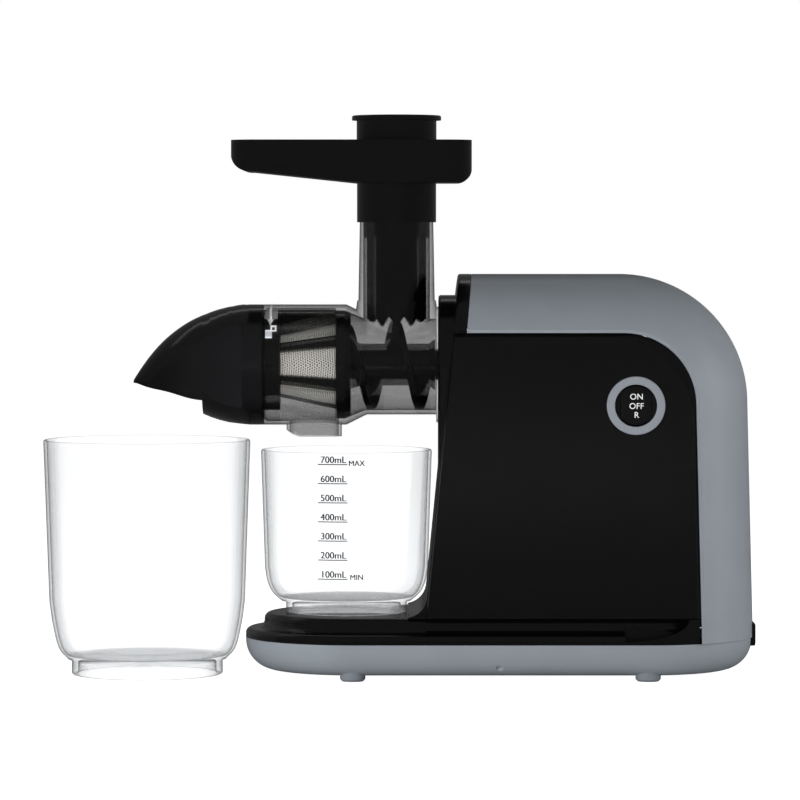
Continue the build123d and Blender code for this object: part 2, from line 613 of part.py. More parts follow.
with BuildPart() as armature:
    extrude(disc(across(MOTOR_X + 16, MOTOR_Z), MOTOR_R - 8, ROTOR_SHAFT_R), amount=42)
    with BuildSketch(across(MOTOR_X + 16, MOTOR_Z)) as armature_slots:
        with PolarLocations(MOTOR_R - 12, 10):
            SlotOverall(12, 3.4)
    extrude(armature_slots.sketch, amount=42, mode=Mode.SUBTRACT)
    extrude(disc(across(MOTOR_X + 60, MOTOR_Z), 9, ROTOR_SHAFT_R), amount=11)
    extrude(disc(across(MOTOR_X + 58, MOTOR_Z), 12, ROTOR_SHAFT_R), amount=3)

with BuildPart() as cooling_fan:
    fan_x = MOTOR_X + MOTOR_LENGTH + 10
    extrude(disc(across(fan_x, MOTOR_Z), 8, ROTOR_SHAFT_R), amount=10)
    extrude(disc(across(fan_x, MOTOR_Z), 30, ROTOR_SHAFT_R + 1), amount=1.6)
    with BuildSketch(across(fan_x, MOTOR_Z)) as fan_blades:
        with PolarLocations(18.5, 9):
            Rectangle(22, 1.6, rotation=24)
        Circle(30, mode=Mode.INTERSECT)
    extrude(fan_blades.sketch, amount=10)

with BuildPart() as control_board:
    # board on edge behind the switch, with the rectifier, a capacitor and the switch relay
    with Locations((130, 48, 178)):
        Box(60, 1.6, 44)
        with Locations((-16, -7.5, 8), (14, -6, 10)):
            Box(16, 14, 12)
        with Locations((8, -8.7, -12)):
            Cylinder(7, 16, rotation=(90, 0, 0))

with BuildPart() as interlock_switch:
    with Locations((CASE_FRONT + 3.6, 0, AXIS_Z + 44)):
        Box(7, 20, 11)


def screw(plane: Plane, head_r: float, shank_r: float, length: float) -> Part:
    """Pan-head screw whose head starts on the plane and whose shank runs along its normal."""
    with BuildPart() as one_screw:
        extrude(disc(plane, head_r), amount=1.8)
        chamfer(edges_on(one_screw, plane), length=0.5)
        extrude(disc(plane.offset(1.8), shank_r), amount=length)
    return one_screw.part


with BuildPart() as case_screws:
    for y, z in EARS:
        add(screw(Plane(origin=(CASE_FRONT - 1.9, y, z), x_dir=(0, 1, 0), z_dir=(1, 0, 0)), 3.2, 1.5, 28))

with BuildPart() as motor_screws:
    for y in (-14, 14):
        add(screw(Plane(origin=(CASE_REAR - WALL - 1.9, y, MOTOR_Z), x_dir=(0, 1, 0), z_dir=(1, 0, 0)),
                  2.6, 1.3, 9))

with BuildPart() as base_screws:
    for x, y in PAN_POSTS:
        add(screw(Plane(origin=(x, y, PAN_SCREW_Z)), 3.4, 1.5, 22))

# ---------------------------------------------------------------- juicing part
def turned(*points: tuple[float, float]) -> Part:
    """Solid of revolution about the juicing axis, from (x, radius) corners."""
    side = Plane(origin=(0, 0, AXIS_Z), x_dir=(1, 0, 0), z_dir=(0, -1, 0))
    with BuildPart() as solid:
        with BuildSketch(side):
            with BuildLine():
                Polyline(*points, close=True)
            make_face()
        revolve(axis=Axis((0, 0, AXIS_Z), (1, 0, 0)))
    return solid.part


with BuildPart() as drum:
    spigot_x = DRUM_FRONT_X - SPIGOT_LENGTH
    add(turned((spigot_x, 0), (spigot_x, DRUM_R - 2.2), (DRUM_FRONT_X, DRUM_R - 2.2), (DRUM_FRONT_X, DRUM_R),
               (SHOULDER_X[0], DRUM_R), (SHOULDER_X[1], NECK_R), (SOCKET_FACE_X - 1.4, NECK_R),
               (SOCKET_FACE_X - 1.4, FLANGE_R), (LUG_X[1], FLANGE_R), (LUG_X[1], 0)))
    # feed tube, tapering a little towards its root
    with BuildSketch(upright(AXIS_Z)):
        Circle(TUBE_R[0])
    with BuildSketch(upright(SKIRT_BOTTOM)):
        Circle(TUBE_R[1])
    loft()
    # flared saddle where the tube grows out of the chamber
    with BuildSketch(upright(AXIS_Z + NECK_R - 20)):
        Circle(TUBE_R[0] + 4)
    with BuildSketch(upright(AXIS_Z + NECK_R + 9)):
        Circle(TUBE_R[0])
    loft()
    extrude(disc(upright(SKIRT_BOTTOM), NECK_SKIRT[1] - 0.35), amount=TUBE_TOP - SKIRT_BOTTOM)
    # juice spout: an obround nozzle below the strainer, its front end cut back as a lip
    with BuildSketch(Plane.XY.offset(SPOUT_BOTTOM)) as spout_outline:
        with Locations(((SPOUT_X[0] + SPOUT_X[1]) / 2, 0)):
            SlotOverall(SPOUT_X[1] - SPOUT_X[0], 2 * SPOUT_R)
    extrude(spout_outline.sketch, amount=14)
    with BuildSketch(Plane.XZ.offset(-20)) as lip_cut:
        with BuildLine():
            Polyline((SPOUT_X[0] - 1, SPOUT_BOTTOM - 1), (SPOUT_X[0] + 11, SPOUT_BOTTOM - 1),
                     (SPOUT_X[0] + 4, SPOUT_BOTTOM + 1.6), (SPOUT_X[0] - 1, SPOUT_BOTTOM + 5), close=True)
        make_face()
    extrude(lip_cut.sketch, amount=40, mode=Mode.SUBTRACT)
    # bore of the chamber, the tube and the spout
    inner = DRUM_R - DRUM_WALL
    add(turned((spigot_x - 1, 0), (spigot_x - 1, SEAT_R), (DRUM_FRONT_X, SEAT_R), (DRUM_FRONT_X + 2, inner),
               (STRAINER_X[1] - 1.2, inner), (STRAINER_X[1] - 0.6, SEAT_R), (SHOULDER_X[0] - 1, SEAT_R),
               (SHOULDER_X[1] - 1, NECK_BORE), (SOCKET_FACE_X - 1.4, NECK_BORE), (SOCKET_FACE_X - 1.4, 0)),
        mode=Mode.SUBTRACT)
    extrude(disc(upright(AXIS_Z), TUBE_BORE), amount=TUBE_TOP - AXIS_Z + 1, mode=Mode.SUBTRACT)
    with BuildSketch(Plane.XY.offset(SPOUT_BOTTOM - 1)) as spout_bore:
        with Locations(((SPOUT_X[0] + SPOUT_X[1]) / 2, 0)):
            SlotOverall(SPOUT_X[1] - SPOUT_X[0] - 4, 2 * SPOUT_R - 4)
    extrude(spout_bore.sketch, amount=16, mode=Mode.SUBTRACT)
    # rear wall: journal bore for the auger, a seat for the seal, three bayonet lugs
    extrude(disc(across(SOCKET_FACE_X - 2), HUB_R + 0.35), amount=20, mode=Mode.SUBTRACT)
    extrude(disc(across(LUG_X[1] - 2.6), HUB_R + 4.5), amount=3, mode=Mode.SUBTRACT)
    with BuildSketch(across(LUG_X[0])) as lugs:
        with PolarLocations(FLANGE_R, 3, start_angle=90):
            Rectangle(2 * (LUG_R - FLANGE_R), 16)
        Circle(LUG_R, mode=Mode.INTERSECT)
        Circle(FLANGE_R - 1, mode=Mode.SUBTRACT)
    extrude(lugs.sketch, amount=LUG_X[1] - LUG_X[0])

with BuildPart() as drum_seal:
    extrude(disc(across(LUG_X[1] - 2.5), HUB_R + 4.4, HUB_R + 0.1), amount=2.4)

with BuildPart() as strainer_frame:
    left, right = STRAINER_X
    rim_x, collar_r = COLLAR_FRONT
    add(turned((left - 18, NOZZLE_R - 1.8), (left - 18, NOZZLE_R), (left - 1, NOZZLE_R), (left - 1, collar_r - 2),
               (rim_x, collar_r - 2), (rim_x, collar_r), (left + 3.4, collar_r), (left + 3.4, STRAINER_R[0] + 0.6),
               (right, STRAINER_R[1]), (right, SEAT_R - 0.1), (right + 5, SEAT_R - 0.1),
               (right + 8.5, SEAT_R - 2.0), (right + 8.5, STRAINER_R[1] - 1.5),
               (right, STRAINER_R[1] - FRAME_WALL), (left + 2.2, STRAINER_R[0] - FRAME_WALL + 0.5),
               (left + 2.2, NOZZLE_R - 1.8)))
    # six windows between six ribs
    with BuildSketch(across(left + 4)) as windows:
        for number in range(6):
            turn = 60 * number + WINDOW_TURN
            with BuildLine():
                Polyline((0, 0), (40 * cos(radians(turn - 21)), 40 * sin(radians(turn - 21))),
                         (40 * cos(radians(turn + 21)), 40 * sin(radians(turn + 21))), close=True)
            make_face()
    extrude(windows.sketch, amount=right - left - 4.6, mode=Mode.SUBTRACT)
    # fin along the top, which keeps the strainer from turning in the drum
    fin_width, fin_rear, fin_front = FIN
    with BuildSketch(Plane.XZ.offset(-fin_width / 2)) as fin_side:
        with BuildLine():
            Polyline((left + 2, AXIS_Z + STRAINER_R[0] - 1), (left + 2, AXIS_Z + fin_front),
                     (right - 1.6, AXIS_Z + fin_front), (right - 0.4, AXIS_Z + fin_rear),
                     (right + 1, AXIS_Z + fin_rear), (right + 1, AXIS_Z + STRAINER_R[1] - 0.6), close=True)
        make_face()
    extrude(fin_side.sketch, amount=fin_width)

with BuildPart() as strainer_mesh:
    left, right = STRAINER_X
    slope = (STRAINER_R[1] - STRAINER_R[0]) / (right - left)
    mesh_r = [STRAINER_R[0] + slope * (x - left) - FRAME_WALL - 0.05 for x in (left + 2.5, right - 0.5)]
    add(turned((left + 2.5, mesh_r[0]), (right - 0.5, mesh_r[1]), (right - 0.5, mesh_r[1] - 0.5),
               (left + 2.5, mesh_r[0] - 0.5)))


def flight_radius(x: float) -> float:
    """Radius of the auger's flight: it follows the strainer's taper, then the drum's neck."""
    left, right = STRAINER_X
    inside_mesh = STRAINER_R[0] - FRAME_WALL - 1
    slope = (STRAINER_R[1] - STRAINER_R[0]) / (right - left)
    if x < right:
        return inside_mesh + slope * (x - left)
    return min(AUGER_R, inside_mesh + slope * (right - left) + 0.5 * max(0, x - right - 9))


def flight(first_x: float, last_x: float) -> Part:
    """Helical flight: cross-sections of a tapered lobe, lofted while they turn about the axis."""
    root, tip, inner = radians(36), radians(21), CORE_R - 2.5
    steps = round((last_x - first_x) / AUGER_PITCH * 12)
    with BuildPart() as blade:
        for number in range(steps + 1):
            x = first_x + (last_x - first_x) * number / steps
            turn = -pi / 2 + 2 * pi * (x - FLIGHT_LOW_X) / AUGER_PITCH
            outer = flight_radius(x)
            corners = [(r * cos(turn + a), r * sin(turn + a)) for r, a in
                       ((inner, root), (outer, tip), (outer, 0), (outer, -tip), (inner, -root))]
            with BuildSketch(across(x)):
                with BuildLine():
                    Line(corners[0], corners[1])
                    ThreePointArc(corners[1], corners[2], corners[3])
                    Polyline(corners[3], corners[4], corners[0])
                make_face()
        loft()
    return blade.part


with BuildPart() as auger:
    left, right = STRAINER_X
    add(flight(left + 3, SOCKET_FACE_X - 5))
    # the core widens through the strainer, so that the pulp is pressed ever harder
    add(turned((left - 6, 0), (left - 6, 8), (left - 2, 11), (left + 2, flight_radius(left) - 2.4),
               (right - 4, flight_radius(right) - 7), (right + 6, CORE_R + 3), (right + 16, CORE_R),
               (SOCKET_FACE_X - 6, CORE_R), (SOCKET_FACE_X - 3, 16), (SOCKET_FACE_X - 2.2, 16),
               (SOCKET_FACE_X - 2.2, HUB_R), (SOCKET_FLOOR_X + 2.6, HUB_R), (SOCKET_FLOOR_X + 2.6, 0)))
    with BuildSketch(across(13)) as drive_socket:
        RegularPolygon(SHAFT_R - 0.75, 6)
    extrude(drive_socket.sketch, amount=20.5, mode=Mode.SUBTRACT)
    extrude(disc(across(33.2), SHAFT_R + 0.03), amount=10, mode=Mode.SUBTRACT)


# ---------------------------------------------------------------- end cap with the pulp chute
NOSE = (
    # X, half width, height of the shoulder, height of the ridge
    (-97.0, 27.0, 226.5, 236.4),
    (-105.0, 27.0, 223.8, 235.5),
    (-114.6, 26.8, 220.0, 233.0),
    (-127.4, 25.6, 212.6, 228.6),
    (-140.2, 22.4, 204.8, 221.3),
    (-153.0, 16.0, 192.8, 210.2),
    (-163.0, 9.0, 187.6, 197.8),
    (-169.2, 3.4, 187.2, 188.3),
)
NECKING_X = -99.0         # the skirt is round behind here and as wide as the beak in front
NOSE_TIP_Z = 186.3
NOSE_SLOPE = 0.24         # fall of the beak's underside towards the drum
NOSE_FLOOR_Z = 176.2
CAP_WALL = 2.2


def nose_section(x: float, half: float, bottom: float, shoulder: float, ridge: float) -> Sketch:
    """Cross-section of the beak: upright sides under an arch."""
    with BuildSketch(across(x, 0)) as section:
        with BuildLine():
            Polyline((-half, shoulder), (-half, bottom), (half, bottom), (half, shoulder))
            ThreePointArc((half, shoulder), (0, ridge), (-half, shoulder))
        make_face()
    return section.sketch


def dome(rear_x: float, inset: float) -> Part:
    """Domed front of the skirt, narrowed to the width of the beak, drawn in by an inset."""
    front_end = -124.6 + inset
    with BuildPart() as shape:
        add(turned((rear_x, 0), (rear_x, DRUM_R - inset), (-95, DRUM_R - inset), (-101.8, 37.8 - inset),
                   (-108.2, 37.0 - inset), (-114.6, 35.4 - inset), (-120, 33.6 - inset),
                   (front_end, 31.6 - inset), (front_end, 0)))
        for side in (-1, 1):
            with Locations((NECKING_X + inset - 20, side * (NOSE[0][1] - inset + 20), AXIS_Z)):
                Box(40, 40, 100, mode=Mode.SUBTRACT)
    return shape.part


with BuildPart() as end_cap:
    add(dome(DRUM_FRONT_X - GAP, 0))
    outer_sections = []
    for x, half, shoulder, ridge in NOSE:
        bottom = max(NOSE_TIP_Z - NOSE_SLOPE * (x - NOSE[-1][0]), NOSE_FLOOR_Z)
        outer_sections.append(nose_section(x, half, bottom, shoulder, ridge))
    loft(outer_sections)
    # hollow of the skirt and of the dome, then the beak, whose underside is the open chute
    spigot_x = DRUM_FRONT_X - SPIGOT_LENGTH
    web_x = spigot_x - 0.5
    hollow = dome(DRUM_FRONT_X - GAP, CAP_WALL)
    add(split(hollow, bisect_by=Plane.YZ.offset(web_x - 2), keep=Keep.BOTTOM, mode=Mode.PRIVATE),
        mode=Mode.SUBTRACT)
    inner_sections = []
    for x, half, shoulder, ridge in NOSE[1:7]:
        bottom = NOSE_FLOOR_Z + CAP_WALL if x > NOSE[4][0] else AXIS_Z - 40
        inner_sections.append(nose_section(x, half - CAP_WALL, bottom, shoulder - CAP_WALL / 2, ridge - CAP_WALL))
    loft(inner_sections, mode=Mode.SUBTRACT)
    # seat on the drum's rim, and a bore for the seal round the strainer's nozzle
    extrude(disc(across(web_x), DRUM_R - 1.9), amount=20, mode=Mode.SUBTRACT)
    extrude(disc(across(web_x - 5), NOZZLE_R + 2.2), amount=10, mode=Mode.SUBTRACT)

with BuildPart() as cap_seal:
    extrude(disc(across(web_x - 2), NOZZLE_R + 2.15, NOZZLE_R + 0.05), amount=3)

# ---------------------------------------------------------------- hopper and pusher
def tray_solid(inset: float, top: float) -> Part:
    """Solid shape of the tray, drawn in by an inset: a side profile crossed with a plan."""
    left, right = HOPPER_LEFT + inset, HOPPER_RIGHT - inset
    floor = HOPPER_BOTTOM + inset
    with BuildPart() as tray:
        with BuildSketch(Plane.XZ.offset(-60)) as side:
            with BuildLine():
                Line((left, top), (left, floor + 16.4))
                ThreePointArc((left, floor + 16.4), (left + 3.4, floor + 10.3), (left + 13, floor + 7))
                Polyline((left + 13, floor + 7), (-26.8, floor), (right - 9, floor))
                ThreePointArc((right - 9, floor), (right - 2.6, floor + 2.4), (right, floor + 8))
                Polyline((right, floor + 8), (right, top), (left, top))
            make_face()
        extrude(side.sketch, amount=120)
        with BuildSketch(Plane.XY.offset(HOPPER_BOTTOM - 1)) as plan:
            with Locations(((HOPPER_LEFT + HOPPER_RIGHT) / 2, 0)):
                RectangleRounded(HOPPER_RIGHT - HOPPER_LEFT - 2 * inset, 2 * (HOPPER_HALF - inset), radius=16 - inset)
        extrude(plan.sketch, amount=60, mode=Mode.INTERSECT)
    return tray.part


with BuildPart() as hopper:
    add(tray_solid(0, HOPPER_TOP))
    extrude(disc(upright(SKIRT_BOTTOM), NECK_SKIRT[0]), amount=HOPPER_BOTTOM - SKIRT_BOTTOM + 8)
    add(tray_solid(HOPPER_WALL, HOPPER_TOP + 1), mode=Mode.SUBTRACT)
    # slot for the rim of the feed tube between the skirt and the spigot
    extrude(disc(upright(SKIRT_BOTTOM), NECK_SKIRT[1]), amount=TUBE_TOP + GAP - SKIRT_BOTTOM, mode=Mode.SUBTRACT)
    extrude(disc(upright(SKIRT_BOTTOM - 10), NECK_SPIGOT[0]), amount=TUBE_TOP - SKIRT_BOTTOM + 12)
    extrude(disc(upright(SKIRT_BOTTOM - 11), NECK_SPIGOT[1]), amount=60, mode=Mode.SUBTRACT)

with BuildPart() as pusher:
    shoulder_z = HOPPER_BOTTOM + HOPPER_WALL + GAP
    extrude(disc(upright(PUSHER_FOOT - 6), PLUNGER_R), amount=shoulder_z - PUSHER_FOOT + 6)
    extrude(disc(upright(shoulder_z), HANDLE_R), amount=PUSHER_TOP - 2 - shoulder_z)
    extrude(disc(upright(PUSHER_TOP - 3.1), HANDLE_R + 3.0), amount=3.1)
    fillet(pusher.faces().sort_by(Axis.Z)[-1].edges(), radius=1.2)
    # hollow, closed by a floor above the row of teeth
    extrude(disc(upright(PUSHER_FOOT + 4), PLUNGER_R - 2.4), amount=200, mode=Mode.SUBTRACT)
    extrude(disc(upright(shoulder_z + 3), HANDLE_R - 2.6), amount=200, mode=Mode.SUBTRACT)
    extrude(disc(upright(PUSHER_FOOT - 7), PLUNGER_R - 2.4), amount=7, mode=Mode.SUBTRACT)
    with BuildSketch(Plane.XZ.offset(-40)) as notch:
        with Locations((TUBE_X, PUSHER_FOOT - 6.2)):
            Triangle(a=8.8, B=56, C=56, align=(Align.CENTER, Align.MIN))
    for number in range(6):
        tooth_gap = extrude(notch.sketch, amount=80, mode=Mode.PRIVATE)
        add(tooth_gap.rotate(Axis((TUBE_X, 0, 0), (0, 0, 1)), 30 * number + 15), mode=Mode.SUBTRACT)
    # the teeth end in a saddle that clears the auger
    add(turned((-40, 0), (-40, AUGER_R + 0.7), (40, AUGER_R + 0.7), (40, 0)), mode=Mode.SUBTRACT)

with BuildPart() as pusher_cap:
    extrude(disc(upright(PUSHER_TOP - 5), HANDLE_R - 2.7), amount=3.6)
    extrude(disc(upright(PUSHER_TOP - 9), HANDLE_R - 3.2, HANDLE_R - 5), amount=4.5)


# ---------------------------------------------------------------- cups
def cup_side(radii: float, floor: float, foot: list[tuple[float, float]], corner: list[tuple[float, float]],
             rim: tuple[float, float]) -> Sketch:
    """Half section of a cup about Z, taken in by a wall: foot, rounded corner, straight flaring wall."""
    curve = [(r - radii, max(z, floor)) for r, z in corner]
    top = (rim[0] - radii, rim[1] + radii)
    wall = (top[0] - curve[-1][0], top[1] - curve[-1][1])
    with BuildSketch(Plane.XZ) as side:
        with BuildLine():
            Polyline((0, floor), *foot, curve[0])
            Spline(*curve, tangents=((1, 0.25), wall))
            Polyline(curve[-1], top, (0, top[1]), (0, floor))
        make_face()
    return side.sketch


def cup(x: float, foot_r: float, foot: tuple[float, float], corner: list[tuple[float, float]],
        rim: tuple[float, float]) -> Part:
    """Thin cup that stands on a foot ring between two heights."""
    foot_z, foot_top = foot
    with BuildPart() as vessel:
        revolve(cup_side(0, foot_z, [(foot_r, foot_z), (foot_r, foot_top)], corner, rim), axis=Axis.Z)
        floor = corner[0][1] + CUP_WALL
        revolve(cup_side(CUP_WALL, floor, [], corner, rim), axis=Axis.Z, mode=Mode.SUBTRACT)
        extrude(disc(upright(foot_z, 0), foot_r - 4), amount=foot_top - foot_z - 1.5, mode=Mode.SUBTRACT)
        fillet(vessel.faces().sort_by(Axis.Z)[-1].edges(), radius=1.0)
    return vessel.part.moved(Location((x, 0, 0)))


with BuildPart() as juice_cup:
    add(cup(JUICE_X, JUICE_FOOT_R, (DECK_TOP + 0.1, 46.5),
            [(42.0, 47.2), (47.5, 52.4), (50.6, 59.0), (52.2, 68.0)], JUICE_RIM))

with BuildPart() as pulp_cup:
    add(cup(PULP_X, PULP_FOOT_R, (0.0, 9.0), [(51.0, 9.8), (56.8, 17.0), (60.5, 32.0), (62.6, 46.6)], PULP_RIM))

# ---------------------------------------------------------------- the parts
PARTS = {
    "base_pan": base_pan, "feet": feet, "deck": deck, "top_shell": top_shell, "front_panel": front_panel,
    "back_panel": back_panel, "front_bulkhead": front_bulkhead, "switch_ring": switch_ring,
    "switch_housing": switch_housing, "cord_inlet": cord_inlet, "rocker": rocker, "motor_can": motor_can,
    "motor_bell": motor_bell, "motor_bearings": motor_bearings, "motor_magnets": motor_magnets,
    "rotor_shaft": rotor_shaft, "armature": armature, "cooling_fan": cooling_fan, "gear_case": gear_case,
    "gear_cover": gear_cover, "gear_axles": gear_axles, "first_gear": first_gear, "second_gear": second_gear,
    "output_gear": output_gear, "output_shaft": output_shaft, "output_bushing": output_bushing,
    "shaft_seal": shaft_seal, "control_board": control_board, "interlock_switch": interlock_switch,
    "case_screws": case_screws, "motor_screws": motor_screws, "base_screws": base_screws, "drum": drum,
    "drum_seal": drum_seal, "strainer_frame": strainer_frame, "strainer_mesh": strainer_mesh,
    "auger": auger, "end_cap": end_cap, "cap_seal": cap_seal, "hopper": hopper, "pusher": pusher,
    "pusher_cap": pusher_cap, "juice_cup": juice_cup, "pulp_cup": pulp_cup,
}
for name, builder in PARTS.items():
    builder.part.label = name
    export_step(builder.part, f"parts/{name}.step")
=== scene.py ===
import logging
import math
from collections.abc import Callable
from dataclasses import dataclass
from enum import Enum

import bpy
import numpy as np
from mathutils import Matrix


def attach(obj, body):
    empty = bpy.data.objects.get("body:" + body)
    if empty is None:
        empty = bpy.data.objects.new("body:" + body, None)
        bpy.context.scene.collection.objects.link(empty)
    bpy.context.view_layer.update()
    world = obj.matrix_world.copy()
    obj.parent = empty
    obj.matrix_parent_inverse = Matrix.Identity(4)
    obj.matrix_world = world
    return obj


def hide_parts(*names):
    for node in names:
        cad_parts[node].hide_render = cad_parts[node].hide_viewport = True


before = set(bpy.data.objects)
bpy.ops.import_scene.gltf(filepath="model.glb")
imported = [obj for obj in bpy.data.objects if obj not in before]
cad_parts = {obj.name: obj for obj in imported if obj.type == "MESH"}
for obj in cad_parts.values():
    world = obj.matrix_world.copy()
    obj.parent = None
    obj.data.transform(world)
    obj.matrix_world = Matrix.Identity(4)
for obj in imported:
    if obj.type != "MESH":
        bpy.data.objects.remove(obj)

LOG = logging.getLogger("juicer")
MM = 0.001
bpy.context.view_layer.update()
WHITE = (1.0, 1.0, 1.0, 1.0)
BEFORE_FIRST_BOUNCE = 0.5


# ---------------------------------------------------------------- colour and nodes
def linear(code: str) -> tuple[float, float, float, float]:
    """Turn an sRGB hex colour into linear light.

    Args:
        code: six hex digits, with or without a leading hash.

    Returns:
        Linear red, green and blue, and full opacity.
    """
    channels = [int(code.lstrip("#")[i:i + 2], 16) / 255 for i in (0, 2, 4)]
    light = [c / 12.92 if c <= 0.04045 else ((c + 0.055) / 1.055) ** 2.4 for c in channels]
    return (light[0], light[1], light[2], 1.0)


def add_node(tree: bpy.types.NodeTree, kind: str, settings: dict | None = None,
             links: dict | None = None) -> bpy.types.Node:
    """Add one node with its settings and links.

    Args:
        tree: node tree that gets the node.
        kind: Blender's type name of the node.
        settings: attribute or input names to values.
        links: input names to the sockets that feed them.

    Returns:
        The new node.
    """
    node = tree.nodes.new(kind)
    for key, value in (settings or {}).items():
        if isinstance(key, str) and hasattr(node, key):
            setattr(node, key, value)
        else:
            node.inputs[key].default_value = value
    for key, socket in (links or {}).items():
        tree.links.new(socket, node.inputs[key])
    return node


def blank_material(name: str) -> tuple[bpy.types.Material, bpy.types.NodeTree, bpy.types.Node]:
    """Start a node material.

    Args:
        name: name of the real material.

    Returns:
        The material, its tree and its output node.
    """
    material = bpy.data.materials.new(name)
    material.use_nodes = True
    tree = material.node_tree
    tree.nodes.clear()
    return material, tree, add_node(tree, "ShaderNodeOutputMaterial")


def seen_white(tree: bpy.types.NodeTree, glossy_share: float) -> bpy.types.NodeSocket:
    """Work out how far the backdrop shows its white to a ray.

    It does to the eye and through clear walls, and not to light that a matt surface has scattered before. A
    ray that went by way of a glossy surface sees a share of it.

    Args:
        tree: node tree to build in.
        glossy_share: share of the white that is left in a reflection.

    Returns:
        Socket with the share, 0 to 1.
    """
    path = add_node(tree, "ShaderNodeLightPath")
    clear = add_node(tree, "ShaderNodeMath", {"operation": "MAXIMUM"},
                     {0: path.outputs["Is Camera Ray"], 1: path.outputs["Is Transmission Ray"]})
    unscattered = add_node(tree, "ShaderNodeMath", {"operation": "LESS_THAN", 1: BEFORE_FIRST_BOUNCE},
                           {0: path.outputs["Diffuse Depth"]})
    direct = add_node(tree, "ShaderNodeMath", {"operation": "MULTIPLY"},
                      {0: clear.outputs["Value"], 1: unscattered.outputs["Value"]})
    gloss = add_node(tree, "ShaderNodeMapRange", {"To Min": 1.0, "To Max": glossy_share},
                     {"Value": path.outputs["Glossy Depth"]})
    share = add_node(tree, "ShaderNodeMath", {"operation": "MULTIPLY"},
                     {0: direct.outputs["Value"], 1: gloss.outputs["Result"]})
    return share.outputs["Value"]


class Grain(Enum):
    """How a moulded surface was left by its tool."""

    POLISHED = 0.0
    SATIN = 1.0
    SPARK = 2.0


@dataclass(frozen=True)
class MouldedPlastic:
    """Injection-moulded plastic, opaque: a colour under a thin skin that carries the gloss."""

    name: str
    colour: str
    roughness: float
    grain: Grain = Grain.POLISHED
    grain_mm: float = 0.9
    relief_mm: float = 0.01
    specular: float = 0.5
    flow_mm: float = 22.0
    gloss_swing: tuple[float, float] = (0.85, 1.2)
    shade_swing: tuple[float, float] = (0.94, 1.05)

    def material(self) -> bpy.types.Material:
        """Build or find the material.

        Returns:
            The material, with roughness that wanders a little and a skin of moulding grain.
        """
        if self.name in bpy.data.materials:
            return bpy.data.materials[self.name]
        material, tree, output = blank_material(self.name)
        place = add_node(tree, "ShaderNodeTexCoord")
        flow = add_node(tree, "ShaderNodeTexNoise", {"Scale": 1 / (self.flow_mm * MM), "Detail": 2.0},
                        {"Vector": place.outputs["Object"]})
        gloss = add_node(tree, "ShaderNodeMapRange",
                         {"To Min": self.roughness * self.gloss_swing[0],
                          "To Max": self.roughness * self.gloss_swing[1]},
                         {"Value": flow.outputs["Fac"]})
        shade = add_node(tree, "ShaderNodeMapRange",
                         {"To Min": self.shade_swing[0], "To Max": self.shade_swing[1]},
                         {"Value": flow.outputs["Fac"]})
        tint = add_node(tree, "ShaderNodeMix",
                        {"data_type": "RGBA", "blend_type": "MULTIPLY", "Factor": 1.0,
                         6: linear(self.colour)},
                        {7: shade.outputs["Result"]})
        skin = add_node(tree, "ShaderNodeTexNoise", {"Scale": 1 / (self.grain_mm * MM), "Detail": 3.0},
                        {"Vector": place.outputs["Object"]})
        bump = add_node(tree, "ShaderNodeBump",
                        {"Strength": 0.15 + 0.3 * self.grain.value, "Distance": self.relief_mm * MM},
                        {"Height": skin.outputs["Fac"]})
        shader = add_node(tree, "ShaderNodeBsdfPrincipled",
                          {"IOR": 1.5, "Specular IOR Level": self.specular},
                          {"Base Color": tint.outputs[2], "Roughness": gloss.outputs["Result"],
                           "Normal": bump.outputs["Normal"]})
        tree.links.new(shader.outputs["BSDF"], output.inputs["Surface"])
        return material


